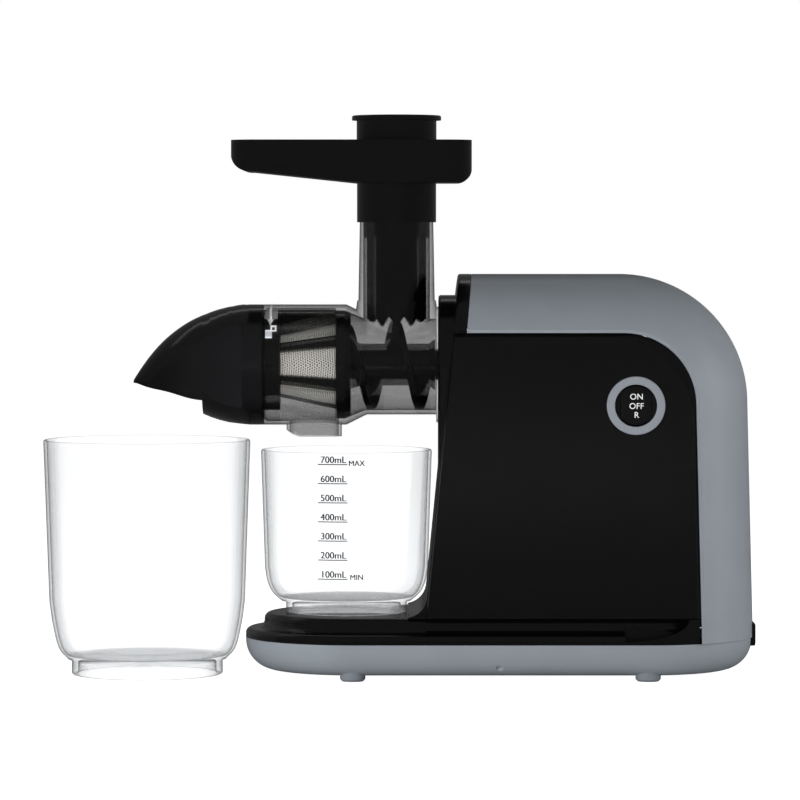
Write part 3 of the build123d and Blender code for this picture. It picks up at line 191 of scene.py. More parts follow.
@dataclass(frozen=True)
class ClearPlastic:
    """See-through moulding, which takes some of the light that passes each of its two skins."""

    name: str
    colour: str
    edge_shade_colour: str
    edge_sharpness: float
    thin: float = 0.7
    roughness: float = 0.0
    ior: float = 1.45
    wave_mm: float = 14.0
    wave_relief_mm: float = 0.02

    def material(self) -> bpy.types.Material:
        """Build or find the material.

        A thin wall hardly bends light, so a share of it passes straight on between plain reflections, which
        are as strong from the inside as from the outside. Light that grazes the wall comes out darker, tinted
        towards the edge colour: partly the longer path through the wall, partly painted shade that draws dark
        outlines along the wall's edges. The rest is bent as in a thick block. Lamps shine through it, tinted.

        Returns:
            The material, with faint flow waves in its skin.
        """
        if self.name in bpy.data.materials:
            return bpy.data.materials[self.name]
        material, tree, output = blank_material(self.name)
        place = add_node(tree, "ShaderNodeTexCoord")
        waves = add_node(tree, "ShaderNodeTexNoise", {"Scale": 1 / (self.wave_mm * MM), "Detail": 1.0},
                         {"Vector": place.outputs["Object"]})
        bump = add_node(tree, "ShaderNodeBump", {"Strength": 0.1, "Distance": self.wave_relief_mm * MM},
                        {"Height": waves.outputs["Fac"]})
        block = add_node(tree, "ShaderNodeBsdfPrincipled",
                         {"Base Color": linear(self.colour), "Roughness": self.roughness, "IOR": self.ior,
                          "Transmission Weight": 1.0},
                         {"Normal": bump.outputs["Normal"]})
        skin_tint = tuple(channel ** 0.5 for channel in linear(self.colour))
        facing = add_node(tree, "ShaderNodeLayerWeight", {"Blend": 0.5}, {"Normal": bump.outputs["Normal"]})
        # Painted shade: towards grazing, the see-through light takes the edge colour. This is partly the longer
        # path through the wall and partly painted dark outlines.
        grazing = add_node(tree, "ShaderNodeMath", {"operation": "POWER", 1: self.edge_sharpness},
                           {0: facing.outputs["Facing"]})
        tint = add_node(tree, "ShaderNodeMix",
                        {"data_type": "RGBA", 6: skin_tint, 7: linear(self.edge_shade_colour)},
                        {"Factor": grazing.outputs["Value"]})
        straight = add_node(tree, "ShaderNodeBsdfTransparent", {}, {"Color": tint.outputs[2]})
        shine = add_node(tree, "ShaderNodeBsdfAnisotropic", {"Roughness": self.roughness},
                         {"Normal": bump.outputs["Normal"]})
        side = add_node(tree, "ShaderNodeNewGeometry")
        bend = add_node(tree, "ShaderNodeMapRange", {"To Min": self.ior, "To Max": 1 / self.ior},
                        {"Value": side.outputs["Backfacing"]})
        edge = add_node(tree, "ShaderNodeFresnel", {},
                        {"IOR": bend.outputs["Result"], "Normal": bump.outputs["Normal"]})
        wall = add_node(tree, "ShaderNodeMixShader", {},
                        {0: edge.outputs["Fac"], 1: straight.outputs["BSDF"], 2: shine.outputs["BSDF"]})
        moulding = add_node(tree, "ShaderNodeMixShader", {0: self.thin},
                            {1: block.outputs["BSDF"], 2: wall.outputs["Shader"]})
        path = add_node(tree, "ShaderNodeLightPath")
        lit = add_node(tree, "ShaderNodeMixShader", {},
                       {0: path.outputs["Is Shadow Ray"], 1: moulding.outputs["Shader"],
                        2: straight.outputs["BSDF"]})
        tree.links.new(lit.outputs["Shader"], output.inputs["Surface"])
        return material


@dataclass(frozen=True)
class Metal:
    """Bare metal, drawn, turned or cast, with fine tool lines."""

    name: str
    colour: str
    roughness: float
    line_mm: float = 0.4
    gloss_swing: tuple[float, float] = (0.8, 1.3)
    relief_mm: float = 0.01

    def material(self) -> bpy.types.Material:
        """Build or find the material.

        Returns:
            The material, with tool lines in its roughness and its bump.
        """
        if self.name in bpy.data.materials:
            return bpy.data.materials[self.name]
        material, tree, output = blank_material(self.name)
        place = add_node(tree, "ShaderNodeTexCoord")
        lines = add_node(tree, "ShaderNodeTexNoise", {"Scale": 1 / (self.line_mm * MM), "Detail": 2.0},
                         {"Vector": place.outputs["Object"]})
        gloss = add_node(tree, "ShaderNodeMapRange",
                         {"To Min": self.roughness * self.gloss_swing[0],
                          "To Max": self.roughness * self.gloss_swing[1]},
                         {"Value": lines.outputs["Fac"]})
        bump = add_node(tree, "ShaderNodeBump", {"Strength": 0.2, "Distance": self.relief_mm * MM},
                        {"Height": lines.outputs["Fac"]})
        shader = add_node(tree, "ShaderNodeBsdfPrincipled",
                          {"Base Color": linear(self.colour), "Metallic": 1.0},
                          {"Roughness": gloss.outputs["Result"], "Normal": bump.outputs["Normal"]})
        tree.links.new(shader.outputs["BSDF"], output.inputs["Surface"])
        return material


@dataclass(frozen=True)
class PerforatedSteel:
    """Sheet steel with staggered round holes, laid out flat in millimetres by the mesh's UV map."""

    name: str
    colour: str
    roughness: float
    pitch_mm: float = 1.7
    hole_mm: float = 1.05
    # The holes are not cut but painted this dark. The colour stands in for the black auger and the shade
    # inside, seen through the holes.
    hole_auger_and_shade_colour: str = "#12110f"
    edge_mm: float = 0.06
    bare_share: float = 0.15

    def material(self) -> bpy.types.Material:
        """Build or find the material.

        Two square-cornered lattices of pitch p by p times the root of 3, the second shifted by half a cell,
        make the staggered rows. A point nearer than half a hole to a lattice point lies in a hole.

        Returns:
            The material: a sheet painted near white, partly painted reflection, between holes painted dark,
                partly painted shade.
        """
        if self.name in bpy.data.materials:
            return bpy.data.materials[self.name]
        material, tree, output = blank_material(self.name)
        sheet = add_node(tree, "ShaderNodeUVMap", {"uv_map": "sheet"})
        cell = np.array([self.pitch_mm, self.pitch_mm * math.sqrt(3), 0.0])
        half = tuple(cell / 2)
        shifted = add_node(tree, "ShaderNodeVectorMath", {"operation": "ADD", 1: half},
                           {0: sheet.outputs["UV"]})
        reach = []
        for rows in (sheet.outputs["UV"], shifted.outputs["Vector"]):
            wrapped = add_node(tree, "ShaderNodeVectorMath",
                               {"operation": "WRAP", 1: half, 2: tuple(-cell / 2)}, {0: rows})
            length = add_node(tree, "ShaderNodeVectorMath", {"operation": "LENGTH"},
                              {0: wrapped.outputs["Vector"]})
            reach.append(length.outputs["Value"])
        nearest = add_node(tree, "ShaderNodeMath", {"operation": "MINIMUM"}, {0: reach[0], 1: reach[1]})
        web = add_node(tree, "ShaderNodeMapRange",
                       {"From Min": self.hole_mm / 2 - self.edge_mm,
                        "From Max": self.hole_mm / 2 + self.edge_mm},
                       {"Value": nearest.outputs["Value"]})
        tint = add_node(tree, "ShaderNodeMix",
                        {"data_type": "RGBA", 6: linear(self.hole_auger_and_shade_colour), 7: linear(self.colour)},
                        {"Factor": web.outputs["Result"]})
        bare = add_node(tree, "ShaderNodeMath", {"operation": "MULTIPLY", 1: self.bare_share},
                        {0: web.outputs["Result"]})
        shader = add_node(tree, "ShaderNodeBsdfPrincipled", {"Roughness": self.roughness, "IOR": 1.5},
                          {"Base Color": tint.outputs[2], "Metallic": bare.outputs["Value"]})
        tree.links.new(shader.outputs["BSDF"], output.inputs["Surface"])
        return material


GLOSS_BLACK = MouldedPlastic("polished_black_abs", "#060607", 0.16)
SATIN_GREY = MouldedPlastic("satin_grey_abs", "#80868c", 0.32, Grain.SATIN)
MATT_BLACK = MouldedPlastic("matt_black_polypropylene", "#0a0a09", 0.34, Grain.SPARK)
ROCKER_BLACK = MouldedPlastic("black_nylon", "#0b0b0c", 0.3, Grain.SATIN)
RING_GREY = MouldedPlastic("satin_grey_ring_abs", "#83888f", 0.35, Grain.SATIN)
FOOT_RUBBER = MouldedPlastic("grey_foot_rubber", "#6f747a", 0.7, Grain.SPARK)
SEAL_SILICONE = MouldedPlastic("grey_silicone", "#8d8f91", 0.5)
GEAR_ACETAL = MouldedPlastic("natural_acetal", "#dcd8cd", 0.4, Grain.SATIN)
BOARD_LACQUER = MouldedPlastic("green_board_lacquer", "#1d5a33", 0.3)
BLACK_SEAL = MouldedPlastic("black_nitrile_rubber", "#161616", 0.6, Grain.SATIN)
# Each edge colour is partly the darkening of a longer path and partly painted shade along the outlines. The
# clear cups' wall is almost untinted, so their edge colour is nearly all painted shade.
SMOKY = ClearPlastic("smoky_tritan", "#c2c2c2", "#070707", 5.0, 0.85)
CLEAR = ClearPlastic("clear_tritan", "#fdfeff", "#454b56", 11.0, 0.8, ior=1.12)
STEEL = Metal("drawn_steel", "#b9babb", 0.3)
# The strainer's near-white colour is partly the steel and partly painted reflection. The mostly matt sheet
# stands in for bare steel reflecting white surroundings.
STRAINER_STEEL_AND_REFLECTION = PerforatedSteel("perforated_stainless_steel", "#fffdf6", 0.5)
BRONZE = Metal("sintered_bronze", "#b0854a", 0.45)
COPPER = Metal("enamelled_copper", "#a4562c", 0.4)
FERRITE = Metal("sintered_ferrite", "#3c3c3e", 0.6)
ALUMINIUM = Metal("die_cast_aluminium", "#c4c6c8", 0.4)

Finish = MouldedPlastic | ClearPlastic | Metal | PerforatedSteel


# ---------------------------------------------------------------- surfaces
def surface(name: str, grid: np.ndarray, wrap_u: bool = False, wrap_v: bool = False) -> bpy.types.Object:
    """Make a smooth mesh from a grid of points.

    Point (i, j) of the grid is joined to (i + 1, j) and (i, j + 1), so each cell is one quad. Where a
    direction wraps, the last row or column is joined to the first. A closed body whose signed volume comes
    out negative, the sum of centre . normal over its faces, has its faces turned round.

    Args:
        name: name of the piece.
        grid: points in metres, shape (rows, columns, 3).
        wrap_u: join the last row to the first.
        wrap_v: join the last column to the first.

    Returns:
        The object, at the origin.
    """
    rows, columns = grid.shape[:2]
    index = np.arange(rows * columns).reshape(rows, columns)
    if wrap_u:
        index = np.vstack([index, index[:1]])
    if wrap_v:
        index = np.hstack([index, index[:, :1]])
    quads = np.stack([index[:-1, :-1], index[1:, :-1], index[1:, 1:], index[:-1, 1:]], axis=-1).reshape(-1, 4)
    points = grid.reshape(-1, 3)
    if wrap_v:
        corner = points[quads]
        fan = np.cross(corner[:, 1] - corner[:, 0], corner[:, 2] - corner[:, 0])
        fan += np.cross(corner[:, 2] - corner[:, 0], corner[:, 3] - corner[:, 0])
        if ((corner.mean(axis=1) - points.mean(axis=0)) * fan).sum() < 0:
            quads = quads[:, ::-1]
    mesh = bpy.data.meshes.new(name)
    mesh.from_pydata(points.tolist(), [], quads.tolist())
    mesh.polygons.foreach_set("use_smooth", np.ones(len(mesh.polygons), dtype=bool))
    mesh.update()
    piece = bpy.data.objects.new(name, mesh)
    bpy.context.scene.collection.objects.link(piece)
    return piece


def sheet_map(piece: bpy.types.Object, flat: np.ndarray) -> None:
    """Give a mesh a UV map that lays its sheet out flat.

    Args:
        piece: the mesh object.
        flat: one point (u, v) for each vertex, in millimetres of sheet.
    """
    mesh = piece.data
    corner = np.zeros(len(mesh.loops), dtype=np.int32)
    mesh.loops.foreach_get("vertex_index", corner)
    layer = mesh.uv_layers.new(name="sheet")
    layer.data.foreach_set("uv", flat.reshape(-1, 2)[corner].ravel())


def turned_upright(name: str, profile: np.ndarray, centre: tuple[float, float],
                   around: int = 128) -> bpy.types.Object:
    """Turn a closed profile about an upright axis.

    A point of radius r and height z goes to (cx + r cos t, cy + r sin t, z) for t round the circle.

    Args:
        name: name of the piece.
        profile: closed loop of (radius, height) in metres, clockwise from inside bottom outwards.
        centre: X and Y of the axis, in metres.
        around: number of steps round the axis.

    Returns:
        The object.
    """
    t = np.linspace(0, 2 * math.pi, around, endpoint=False)
    r, z = profile[:, 0], profile[:, 1]
    grid = np.stack([centre[0] + r[:, None] * np.cos(t), centre[1] + r[:, None] * np.sin(t),
                     np.repeat(z[:, None], around, axis=1)], axis=-1)
    return surface(name, grid, wrap_u=True, wrap_v=True)


def curve_through(points: list[tuple[float, float]], steps: int = 10) -> np.ndarray:
    """Trace a smooth curve through points.

    Between two points the curve is the Catmull-Rom cubic: its slope at each point is half the step from the
    point before to the point after.

    Args:
        points: (across, up) in metres.
        steps: pieces between two points.

    Returns:
        Points of the curve, shape (count, 2).
    """
    knots = np.array(points, dtype=float)
    padded = np.vstack([2 * knots[0] - knots[1], knots, 2 * knots[-1] - knots[-2]])
    t = np.linspace(0, 1, steps, endpoint=False)[None, :, None]
    p0, p1, p2, p3 = (padded[i:len(padded) - 3 + i, None] for i in range(4))
    cubic = 0.5 * (2 * p1 + (p2 - p0) * t + (2 * p0 - 5 * p1 + 4 * p2 - p3) * t ** 2
                   + (3 * p1 - p0 - 3 * p2 + p3) * t ** 3)
    return np.vstack([cubic.reshape(-1, 2), knots[-1]])


def dress(node: str, finish: Finish) -> None:
    """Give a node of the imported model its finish.

    Args:
        node: name of the node.
        finish: the finish that it gets.
    """
    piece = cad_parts[node]
    piece.data.materials.clear()
    piece.data.materials.append(finish.material())


# ---------------------------------------------------------------- studio
@dataclass(frozen=True)
class Softbox:
    """One lamp: where it hangs, what it faces and its width and height in metres, and its output in watts."""

    name: str
    place: tuple[float, float, float]
    aim: tuple[float, float, float]
    size: tuple[float, float]
    power: float
    mirrored: bool = False
    spread_deg: float = 180.0


SOFTBOXES = (
    Softbox("front_softbox", (-0.5, -2.4, 0.12), (0.05, 0, 0.1), (2.0, 0.22), 40),
    Softbox("low_softbox", (-1.1, -1.1, 0.09), (-0.05, 0, 0.03), (0.6, 0.14), 12),
    Softbox("right_softbox", (1.8, -0.1, 0.4), (0.15, 0, 0.2), (0.8, 1.4), 32),
    Softbox("left_softbox", (-1.9, -0.3, 0.4), (-0.1, 0, 0.2), (0.8, 1.4), 8),
    Softbox("drum_spot", (-0.07, -0.8, 0.2), (-0.065, 0, 0.2), (0.08, 0.08), 0.093, spread_deg=14),
    Softbox("overhead_strip", (-0.7, 1.1, 1.7), (-0.05, 0, 0.25), (3.0, 0.15), 1.2, mirrored=True),
)


@dataclass
class Studio:
    """Camera, floor, backdrop light and lamps."""

    aside: float = 0.0012
    distance: float = 2.8
    height: float = 0.2777
    pitch_deg: float = 2.095
    lens: float = 196.9
    glossy_share: float = 0.15
    fill: float = 0.07
    fill_in_gloss: float = 0.12
    floor_shade: float = 0.85
    floor_in_gloss: float = 0.2
    floor_glow: float = 0.97
    floor_half: float = 12.0
    floor_drop: float = 0.0004

    def camera(self) -> None:
        """Place the camera level with the top of the housing, looking along +Y and slightly down."""
        data = bpy.data.cameras.new("camera")
        data.lens = self.lens
        data.sensor_width = 36
        data.clip_end = 50
        camera = bpy.data.objects.new("camera", data)
        camera.location = (self.aside, -self.distance, self.height)
        camera.rotation_euler = (math.radians(90 - self.pitch_deg), 0, 0)
        bpy.context.scene.collection.objects.link(camera)
        bpy.context.scene.camera = camera

    def world(self) -> None:
        """White behind the object for the eye and through clear walls, soft grey for light and gloss."""
        world = bpy.data.worlds.new("studio")
        world.use_nodes = True
        tree = world.node_tree
        tree.nodes.clear()
        white = add_node(tree, "ShaderNodeBackground", {"Color": WHITE, "Strength": 1.0})
        path = add_node(tree, "ShaderNodeLightPath")
        level = add_node(tree, "ShaderNodeMapRange", {"To Min": self.fill, "To Max": self.fill_in_gloss},
                         {"Value": path.outputs["Glossy Depth"]})
        dim = add_node(tree, "ShaderNodeBackground", {"Color": WHITE}, {"Strength": level.outputs["Result"]})
        mix = add_node(tree, "ShaderNodeMixShader", {},
                       {0: seen_white(tree, self.glossy_share), 1: dim.outputs[0], 2: white.outputs[0]})
        output = add_node(tree, "ShaderNodeOutputWorld")
        tree.links.new(mix.outputs[0], output.inputs["Surface"])
        bpy.context.scene.world = world

    def floor(self) -> None:
        """A pale floor that fades to white for the eye and keeps a soft shadow."""
        half, level = self.floor_half, -self.floor_drop
        corners = np.array([[[-half, -half, level], [half, -half, level]],
                            [[-half, half, level], [half, half, level]]])
        floor = surface("floor", corners.transpose(1, 0, 2))
        material, tree, output = blank_material("white_studio_floor")
        glow = add_node(tree, "ShaderNodeMath", {"operation": "MULTIPLY", 1: self.floor_glow},
                        {0: seen_white(tree, self.glossy_share)})
        path = add_node(tree, "ShaderNodeLightPath")
        shade = add_node(tree, "ShaderNodeMapRange",
                         {"To Min": self.floor_shade, "To Max": self.floor_in_gloss},
                         {"Value": path.outputs["Glossy Depth"]})
        shader = add_node(tree, "ShaderNodeBsdfPrincipled",
                          {"Roughness": 1.0, "Specular IOR Level": 0.0, "Emission Color": WHITE},
                          {"Base Color": shade.outputs["Result"], "Emission Strength": glow.outputs["Value"]})
        tree.links.new(shader.outputs[0], output.inputs["Surface"])
        floor.data.materials.append(material)

    def lamp(self, softbox: Softbox) -> None:
        """Hang one lamp.

        Args:
            softbox: the lamp. Glossy surfaces and clear walls show it only where it is a mirrored one.
        """
        data = bpy.data.lights.new(softbox.name, "AREA")
        data.shape = "RECTANGLE"
        data.size, data.size_y = softbox.size
        data.energy = softbox.power
        data.spread = math.radians(softbox.spread_deg)
        lamp = bpy.data.objects.new(softbox.name, data)
        offset = np.array(softbox.aim) - np.array(softbox.place)
        flat = math.hypot(offset[0], offset[1])
        lamp.rotation_euler = (math.atan2(flat, -offset[2]), 0, math.atan2(-offset[0], offset[1]))
        lamp.location = softbox.place
        lamp.visible_camera = False
        lamp.visible_glossy = softbox.mirrored
        lamp.visible_transmission = softbox.mirrored
        bpy.context.scene.collection.objects.link(lamp)

    def build(self) -> None:
        """Set up the whole studio."""
        self.camera()
        self.world()
        self.floor()
        for softbox in SOFTBOXES:
            self.lamp(softbox)


# ---------------------------------------------------------------- lettering
@dataclass(frozen=True)
class Ink:
    """Printing ink, a thin flat layer with no gloss of its own."""

    name: str
    colour: str
    grain_mm: float = 0.5
    gloss: tuple[float, float] = (0.5, 0.7)

    def material(self) -> bpy.types.Material:
        """Build or find the material.

        Returns:
            The material, a little uneven where the ink is thin.
        """
        if self.name in bpy.data.materials:
            return bpy.data.materials[self.name]
        material, tree, output = blank_material(self.name)
        place = add_node(tree, "ShaderNodeTexCoord")
        grain = add_node(tree, "ShaderNodeTexNoise", {"Scale": 1 / (self.grain_mm * MM)},
                         {"Vector": place.outputs["Object"]})
        gloss = add_node(tree, "ShaderNodeMapRange", {"To Min": self.gloss[0], "To Max": self.gloss[1]},
                         {"Value": grain.outputs["Fac"]})
        shader = add_node(tree, "ShaderNodeBsdfPrincipled", {"Base Color": linear(self.colour)},
                          {"Roughness": gloss.outputs["Result"]})
        tree.links.new(shader.outputs["BSDF"], output.inputs["Surface"])
        return material


def flat_text(words: str, height: float) -> tuple[np.ndarray, list[tuple[int, ...]]]:
    """Make the flat outline mesh of some words.

    Args:
        words: what it says.
        height: size of the type, in metres.

    Returns:
        Points (count, 2) with the words centred across and resting on 0, and the faces.
    """
    curve = bpy.data.curves.new("words", "FONT")
    curve.body = words
    curve.size = height
    curve.align_x = "CENTER"
    curve.resolution_u = 4
    text = bpy.data.objects.new("words", curve)
    bpy.context.scene.collection.objects.link(text)
    bpy.context.view_layer.update()
    mesh = bpy.data.meshes.new_from_object(text.evaluated_get(bpy.context.evaluated_depsgraph_get()))
    flat = np.zeros(len(mesh.vertices) * 3)
    mesh.vertices.foreach_get("co", flat)
    faces = [tuple(polygon.vertices) for polygon in mesh.polygons]
    bpy.data.objects.remove(text)
    bpy.data.meshes.remove(mesh)
    return flat.reshape(-1, 3)[:, :2], faces


@dataclass
class Print:
    """Flat marks that are gathered, then laid on a surface as one thin piece."""

    points: list[np.ndarray]
    faces: list[tuple[int, ...]]

    def add(self, points: np.ndarray, faces: list[tuple[int, ...]]) -> None:
        """Add marks.

        Args:
            points: flat points, shape (count, 2).
            faces: their faces.
        """
        offset = sum(len(p) for p in self.points)
        self.points.append(points)
        self.faces += [tuple(i + offset for i in face) for face in faces]

    def words(self, words: str, height: float, place: tuple[float, float], weight: float = 0.0) -> None:
        """Add words centred at a place.

        Args:
            words: what they say.
            height: size of the type.
            place: middle of the words' baseline.
            weight: how much wider the strokes get, by a second strike beside the first.
        """
        points, faces = flat_text(words, height)
        for shift in sorted({-weight / 2, weight / 2}):
            self.add(points + np.array(place) + np.array([shift, 0.0]), faces)

    def bar(self, low: tuple[float, float], high: tuple[float, float], cells: int = 8) -> None:
        """Add a straight bar, cut into cells so that it can bend.

        Args:
            low: lower left corner.
            high: upper right corner.
            cells: number of cells across.
        """
        x = np.linspace(low[0], high[0], cells + 1)
        points = np.concatenate([np.stack([x, np.full_like(x, low[1])], axis=1),
                                 np.stack([x, np.full_like(x, high[1])], axis=1)])
        self.add(points, [(i, i + 1, i + cells + 2, i + cells + 1) for i in range(cells)])

    def lay(self, name: str, onto: Callable[[np.ndarray], np.ndarray], ink: Ink, body: str) -> bpy.types.Object:
        """Lay the marks on a surface.

        Args:
            name: name of the piece.
            onto: turns flat points (count, 2) into points in space (count, 3).
            ink: the ink.
            body: the body that the marks ride on.

        Returns:
            The piece.
        """
        mesh = bpy.data.meshes.new(name)
        mesh.from_pydata(onto(np.vstack(self.points)).tolist(), [], self.faces)
        mesh.materials.append(ink.material())
        mesh.update()
        piece = bpy.data.objects.new(name, mesh)
        bpy.context.scene.collection.objects.link(piece)
        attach(piece, body)
        return piece


BLACK_INK = Ink("black_screen_print", "#1e1e20")
WHITE_INK = Ink("white_pad_print", "#f0f0f0")
GREY_INK = Ink("light_grey_pad_print", "#a9acae")


# ---------------------------------------------------------------- sub-assemblies
@dataclass
class Cup:
    """Thin clear cup on a foot ring, turned about an upright axis. Sizes in millimetres."""

    name: str
    node: str
    body: str
    centre_x: float
    foot: tuple[float, float, float]
    corner: list[tuple[float, float]]
    rim: tuple[float, float]
    wall: float = 2.0
    lip_drop: float = 1.2
    lip_ease: float = 0.35
    foot_wall: float = 4.0
    foot_ease: float = 0.4
    foot_round: float = 0.6
    floor_under: float = 1.5
    around: int = 160

    def profile(self) -> np.ndarray:
        """Work out the closed half section.

        Returns:
            Loop of (radius, height) in metres: up the outside, over the rim, down the inside, round the foot.
        """
        foot_r, foot_bottom, foot_top = self.foot
        floor = self.corner[0][1] + self.wall
        lean = self.rim[0] - self.corner[-1][0]
        rise = self.rim[1] - self.corner[-1][1]
        climb = np.linspace(0, 1, 12)[1:-1, None]
        wall = np.array([self.corner[-1]]) + climb * np.array([[lean, rise]])
        curve = curve_through(self.corner)
        outer = np.vstack([curve, wall])
        inner = np.stack([outer[:, 0] - self.wall, np.maximum(outer[:, 1], floor)], axis=1)
        inner = inner[inner[:, 1] > floor + self.foot_ease][::-1]
        radius, top = self.rim
        inside, drop, ease = radius - self.wall, self.lip_drop, self.lip_ease
        lip = [(radius, top - drop), (radius - ease, top - ease), (radius - self.wall / 2, top),
               (inside + ease, top - ease), (inside, top - drop)]
        ring_r, under_z = foot_r - self.foot_wall, foot_top - self.floor_under
        under = [(0.0, floor), (0.0, under_z), (ring_r, under_z), (ring_r, foot_bottom + self.foot_ease),
                 (ring_r + self.foot_ease, foot_bottom), (foot_r - self.foot_round, foot_bottom),
                 (foot_r, foot_bottom + self.foot_round), (foot_r, foot_top)]
        floor_edge = [(inner[-1, 0] - 1.5, floor + 0.1), (inner[-1, 0] - 4, floor)]
        return np.vstack([outer, lip, inner, floor_edge, under]) * MM

    def build(self) -> bpy.types.Object:
        """Build the cup and put it in place of its node.

        Returns:
            The cup.
        """
        cup = turned_upright(self.name, self.profile(), (self.centre_x * MM, 0.0), self.around)
        cup.data.materials.append(CLEAR.material())
        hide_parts(self.node)
        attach(cup, self.body)
        LOG.info("%s turned", self.name)
        return cup


@dataclass
class JuiceCup(Cup):
    """The graduated cup that stands on the deck. Sizes in millimetres."""

    steps: int = 7
    first_mark: float = 64.2
    mark_pitch: float = 12.07
    mark_ends: tuple[float, float] = (-50.8, -31.8)
    mark_half: float = 0.3
    figure_place: tuple[float, float] = (-40.8, 1.0)
    figure_size: float = 6.0
    figure_weight: float = 0.28
    end_words: tuple[tuple[str, float], ...] = (("MIN", 63.8), ("MAX", 135.8))
    end_x: float = -26.0
    end_size: float = 4.8
    end_weight: float = 0.22
    ink_lift: float = 0.06

    def wrapped(self, points: np.ndarray) -> np.ndarray:
        """Bend flat marks round the cup's front.

        A mark at (x, z) goes to the angle (x - centre) / r on the wall's radius r at that height.

        Args:
            points: (X, Z) in metres.

        Returns:
            Points on the wall, a hair outside it.
        """
        low, high = np.array(self.corner[-1]) * MM, np.array(self.rim) * MM
        climb = (high[0] - low[0]) / (high[1] - low[1])
        radius = low[0] + (points[:, 1] - low[1]) * climb + self.ink_lift * MM
        centre = self.centre_x * MM
        turn = (points[:, 0] - centre) / radius
        return np.stack([centre + radius * np.sin(turn), -radius * np.cos(turn), points[:, 1]], axis=1)

    def graduation(self) -> None:
        """Print the scale: a line and a figure for every 100 mL, with MIN and MAX beside the ends."""
        scale = Print([], [])
        left, right = self.mark_ends
        figure_x, figure_up = self.figure_place
        for step in range(self.steps):
            height = self.first_mark + self.mark_pitch * step
            low, high = (height - self.mark_half) * MM, (height + self.mark_half) * MM
            scale.bar((left * MM, low), (right * MM, high))
            scale.words(f"{100 * (step + 1)}mL", self.figure_size * MM,
                        (figure_x * MM, (height + figure_up) * MM), self.figure_weight * MM)
        for word, base in self.end_words:
            scale.words(word, self.end_size * MM, (self.end_x * MM, base * MM), self.end_weight * MM)
        scale.lay("juice_cup_scale", self.wrapped, BLACK_INK, self.body)


@dataclass
class Strainer:
    """Cone of perforated sheet between the strainer's ribs. Sizes in millimetres."""

    axis_z: float = 198.0
    left: tuple[float, float] = (-76.5, 18.48)
    right: tuple[float, float] = (-39.5, 26.24)
    sheet: float = 0.5
    around: int = 144

    def build(self) -> bpy.types.Object:
        """Build the cone in place of its node.

        A point at X and angle t about the axis lies at radius r(X). Unrolled, a point at the distance l from
        the cone's tip goes to (l cos(t s), l sin(t s)), s being the sine of the cone's half angle.

        Returns:
            The cone.
        """
        (x0, r0), (x1, r1) = self.left, self.right
        t = np.linspace(-math.pi, math.pi, self.around + 1)
        section = np.array([(x0, r0), (x1, r1), (x1, r1 - self.sheet), (x0, r0 - self.sheet), (x0, r0)])
        x, r = section[:, :1], section[:, 1:]
        across, height = r * np.cos(t), self.axis_z + r * np.sin(t)
        grid = np.stack([np.repeat(x, t.size, axis=1), across, height], axis=-1) * MM
        cone = surface("strainer_sheet", grid)
        sine = (r1 - r0) / math.hypot(r1 - r0, x1 - x0)
        tip = r / sine
        sheet_map(cone, np.stack([tip * np.cos(t * sine), tip * np.sin(t * sine)], axis=-1))
        cone.data.materials.append(STRAINER_STEEL_AND_REFLECTION.material())
        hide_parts("strainer_mesh")
        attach(cone, "juicing_drum")
        LOG.info("strainer sheet rolled")
        return cone


@dataclass
class DrumMarks:
    """Printed marks that show which way the drum locks. Sizes in millimetres."""

    axis_z: float = 198.0
    radius: float = 38.56
    middle_x: float = -80.9
    shaft_half: float = 0.7
    shaft_ends: tuple[float, float] = (227.0, 236.55)
    shaft_steps: int = 12
    head_tip: float = 223.4
    head_base: float = 227.4
    head_half: float = 2.0

    def wrapped(self, points: np.ndarray) -> np.ndarray:
        """Bend flat marks round the drum.

        A mark at (x, s) goes to the angle s / r above level on the near side of the drum.

        Args:
            points: X and arc length from level, in metres.

        Returns:
            Points on the drum, a hair outside it.
        """
        turn = points[:, 1] / (self.radius * MM)
        return np.stack([points[:, 0], -self.radius * MM * np.cos(turn),
                         (self.axis_z + self.radius * np.sin(turn)) * MM], axis=1)

    def rise(self, height: float) -> float:
        """Turn a height into the arc length from level.

        Args:
            height: height above the table.

        Returns:
            Arc length in metres.
        """
        return math.asin(min(1.0, (height - self.axis_z) / self.radius)) * self.radius * MM

    def build(self) -> None:
        """Print an arrow over an open padlock."""
        marks = Print([], [])
        x, half, count = self.middle_x, self.shaft_half, self.shaft_steps
        tall = np.linspace(self.rise(self.shaft_ends[0]), self.rise(self.shaft_ends[1]), count)
        shaft = np.concatenate([np.stack([np.full(count, (x + side) * MM), tall], axis=1)
                                for side in (-half, half)])
        marks.add(shaft, [(i, i + count, i + count + 1, i + 1) for i in range(count - 1)])
        head = np.array([(x, self.head_tip), (x + self.head_half, self.head_base),
                         (x - self.head_half, self.head_base)])
        marks.add(np.stack([head[:, 0] * MM, [self.rise(z) for z in head[:, 1]]], axis=1), [(0, 1, 2)])
        boxes = [((x - 3.2, 215.6), (x + 1.1, 220.8)), ((x + 0.1, 220.8), (x + 1.1, 223.6)),
                 ((x + 1.1, 222.5), (x + 3.9, 223.6)), ((x + 2.8, 219.8), (x + 3.9, 222.5)),
                 ((x + 1.1, 219.8), (x + 2.8, 220.7))]
        for low, high in boxes:
            marks.bar((low[0] * MM, self.rise(low[1])), (high[0] * MM, self.rise(high[1])), cells=2)
        marks.lay("drum_lock_marks", self.wrapped, GREY_INK, "juicing_drum")


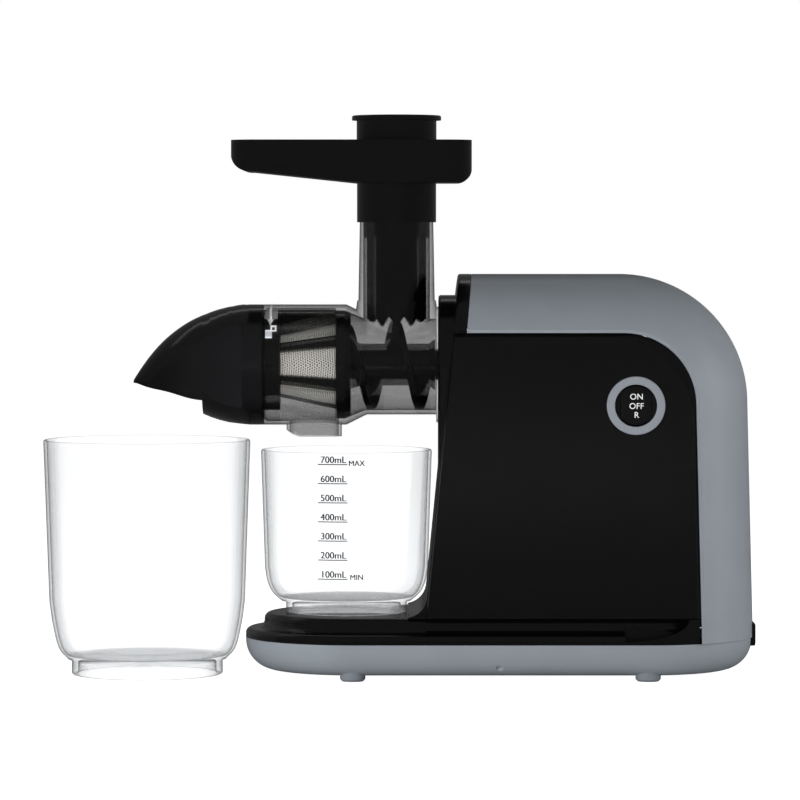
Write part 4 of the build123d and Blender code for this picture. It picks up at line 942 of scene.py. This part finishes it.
@dataclass
class RockerWords:
    """White lettering on the dished face of the switch. Sizes in millimetres."""

    centre: tuple[float, float] = (149.4, 174.0)
    face_y: float = -60.8
    dish: float = 74.9
    ink_lift: float = 0.05
    type_size: float = 5.3
    settings: tuple[tuple[str, float], ...] = (("ON", 177.8), ("OFF", 171.9), ("R", 166.3))

    def pressed(self, points: np.ndarray) -> np.ndarray:
        """Lay flat words into the dished face.

        A mark at height z comes forward by (z - middle)^2 / 2 r, r being the radius of the dish.

        Args:
            points: (X, Z) in metres.

        Returns:
            Points a hair in front of the face.
        """
        rise = points[:, 1] - self.centre[1] * MM
        y = (self.face_y - self.ink_lift) * MM - rise ** 2 / (2 * self.dish * MM)
        return np.stack([points[:, 0], y, points[:, 1]], axis=1)

    def build(self) -> None:
        """Print the three settings."""
        words = Print([], [])
        for word, base in self.settings:
            words.words(word, self.type_size * MM, (self.centre[0] * MM, base * MM))
        words.lay("rocker_words", self.pressed, WHITE_INK, "switch_rocker")


@dataclass
class CarriedOver:
    """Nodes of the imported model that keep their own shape, each with its finish."""

    finishes: dict[str, Finish]

    def build(self) -> None:
        """Dress every node in the list."""
        for node, finish in self.finishes.items():
            dress(node, finish)
        LOG.info("dressed %d nodes", len(self.finishes))


FINISHES = {
    "base_pan": SATIN_GREY, "feet": FOOT_RUBBER, "deck": GLOSS_BLACK, "top_shell": SATIN_GREY,
    "front_panel": GLOSS_BLACK, "back_panel": GLOSS_BLACK, "front_bulkhead": GLOSS_BLACK,
    "switch_ring": RING_GREY, "switch_housing": MATT_BLACK, "cord_inlet": MATT_BLACK, "rocker": ROCKER_BLACK,
    "motor_can": STEEL, "motor_bell": ALUMINIUM, "motor_bearings": STEEL, "motor_magnets": FERRITE,
    "rotor_shaft": STEEL, "armature": COPPER, "cooling_fan": GEAR_ACETAL, "gear_case": MATT_BLACK,
    "gear_cover": MATT_BLACK, "gear_axles": STEEL, "first_gear": GEAR_ACETAL, "second_gear": GEAR_ACETAL,
    "output_gear": GEAR_ACETAL, "output_shaft": STEEL, "output_bushing": BRONZE, "shaft_seal": BLACK_SEAL,
    "control_board": BOARD_LACQUER, "interlock_switch": MATT_BLACK, "case_screws": STEEL,
    "motor_screws": STEEL, "base_screws": STEEL, "drum": SMOKY, "drum_seal": SEAL_SILICONE,
    "strainer_frame": MATT_BLACK, "auger": MATT_BLACK, "end_cap": GLOSS_BLACK, "cap_seal": SEAL_SILICONE,
    "hopper": GLOSS_BLACK, "pusher": GLOSS_BLACK, "pusher_cap": GLOSS_BLACK,
}


def main() -> None:
    """Build the studio, then each sub-assembly in order."""
    bpy.context.scene.view_settings.view_transform = "Standard"
    Studio().build()
    LOG.info("studio ready")
    CarriedOver(FINISHES).build()
    juice = JuiceCup("juice_cup_wall", "juice_cup", "juice_catcher", -33.1, (38.7, 39.7, 46.5),
                     [(42.0, 47.2), (47.5, 52.4), (50.6, 59.0), (52.2, 68.0)], (54.7, 143.8))
    juice.build()
    juice.graduation()
    Strainer().build()
    DrumMarks().build()
    RockerWords().build()
    Cup("pulp_cup_wall", "pulp_cup", "pulp_catcher", -160.9, (48.3, 0.0, 9.0),
        [(51.0, 9.8), (56.8, 17.0), (60.5, 32.0), (62.6, 46.6)], (66.2, 150.0)).build()


if __name__ == "__main__":
    logging.basicConfig(level=logging.INFO)
    main()
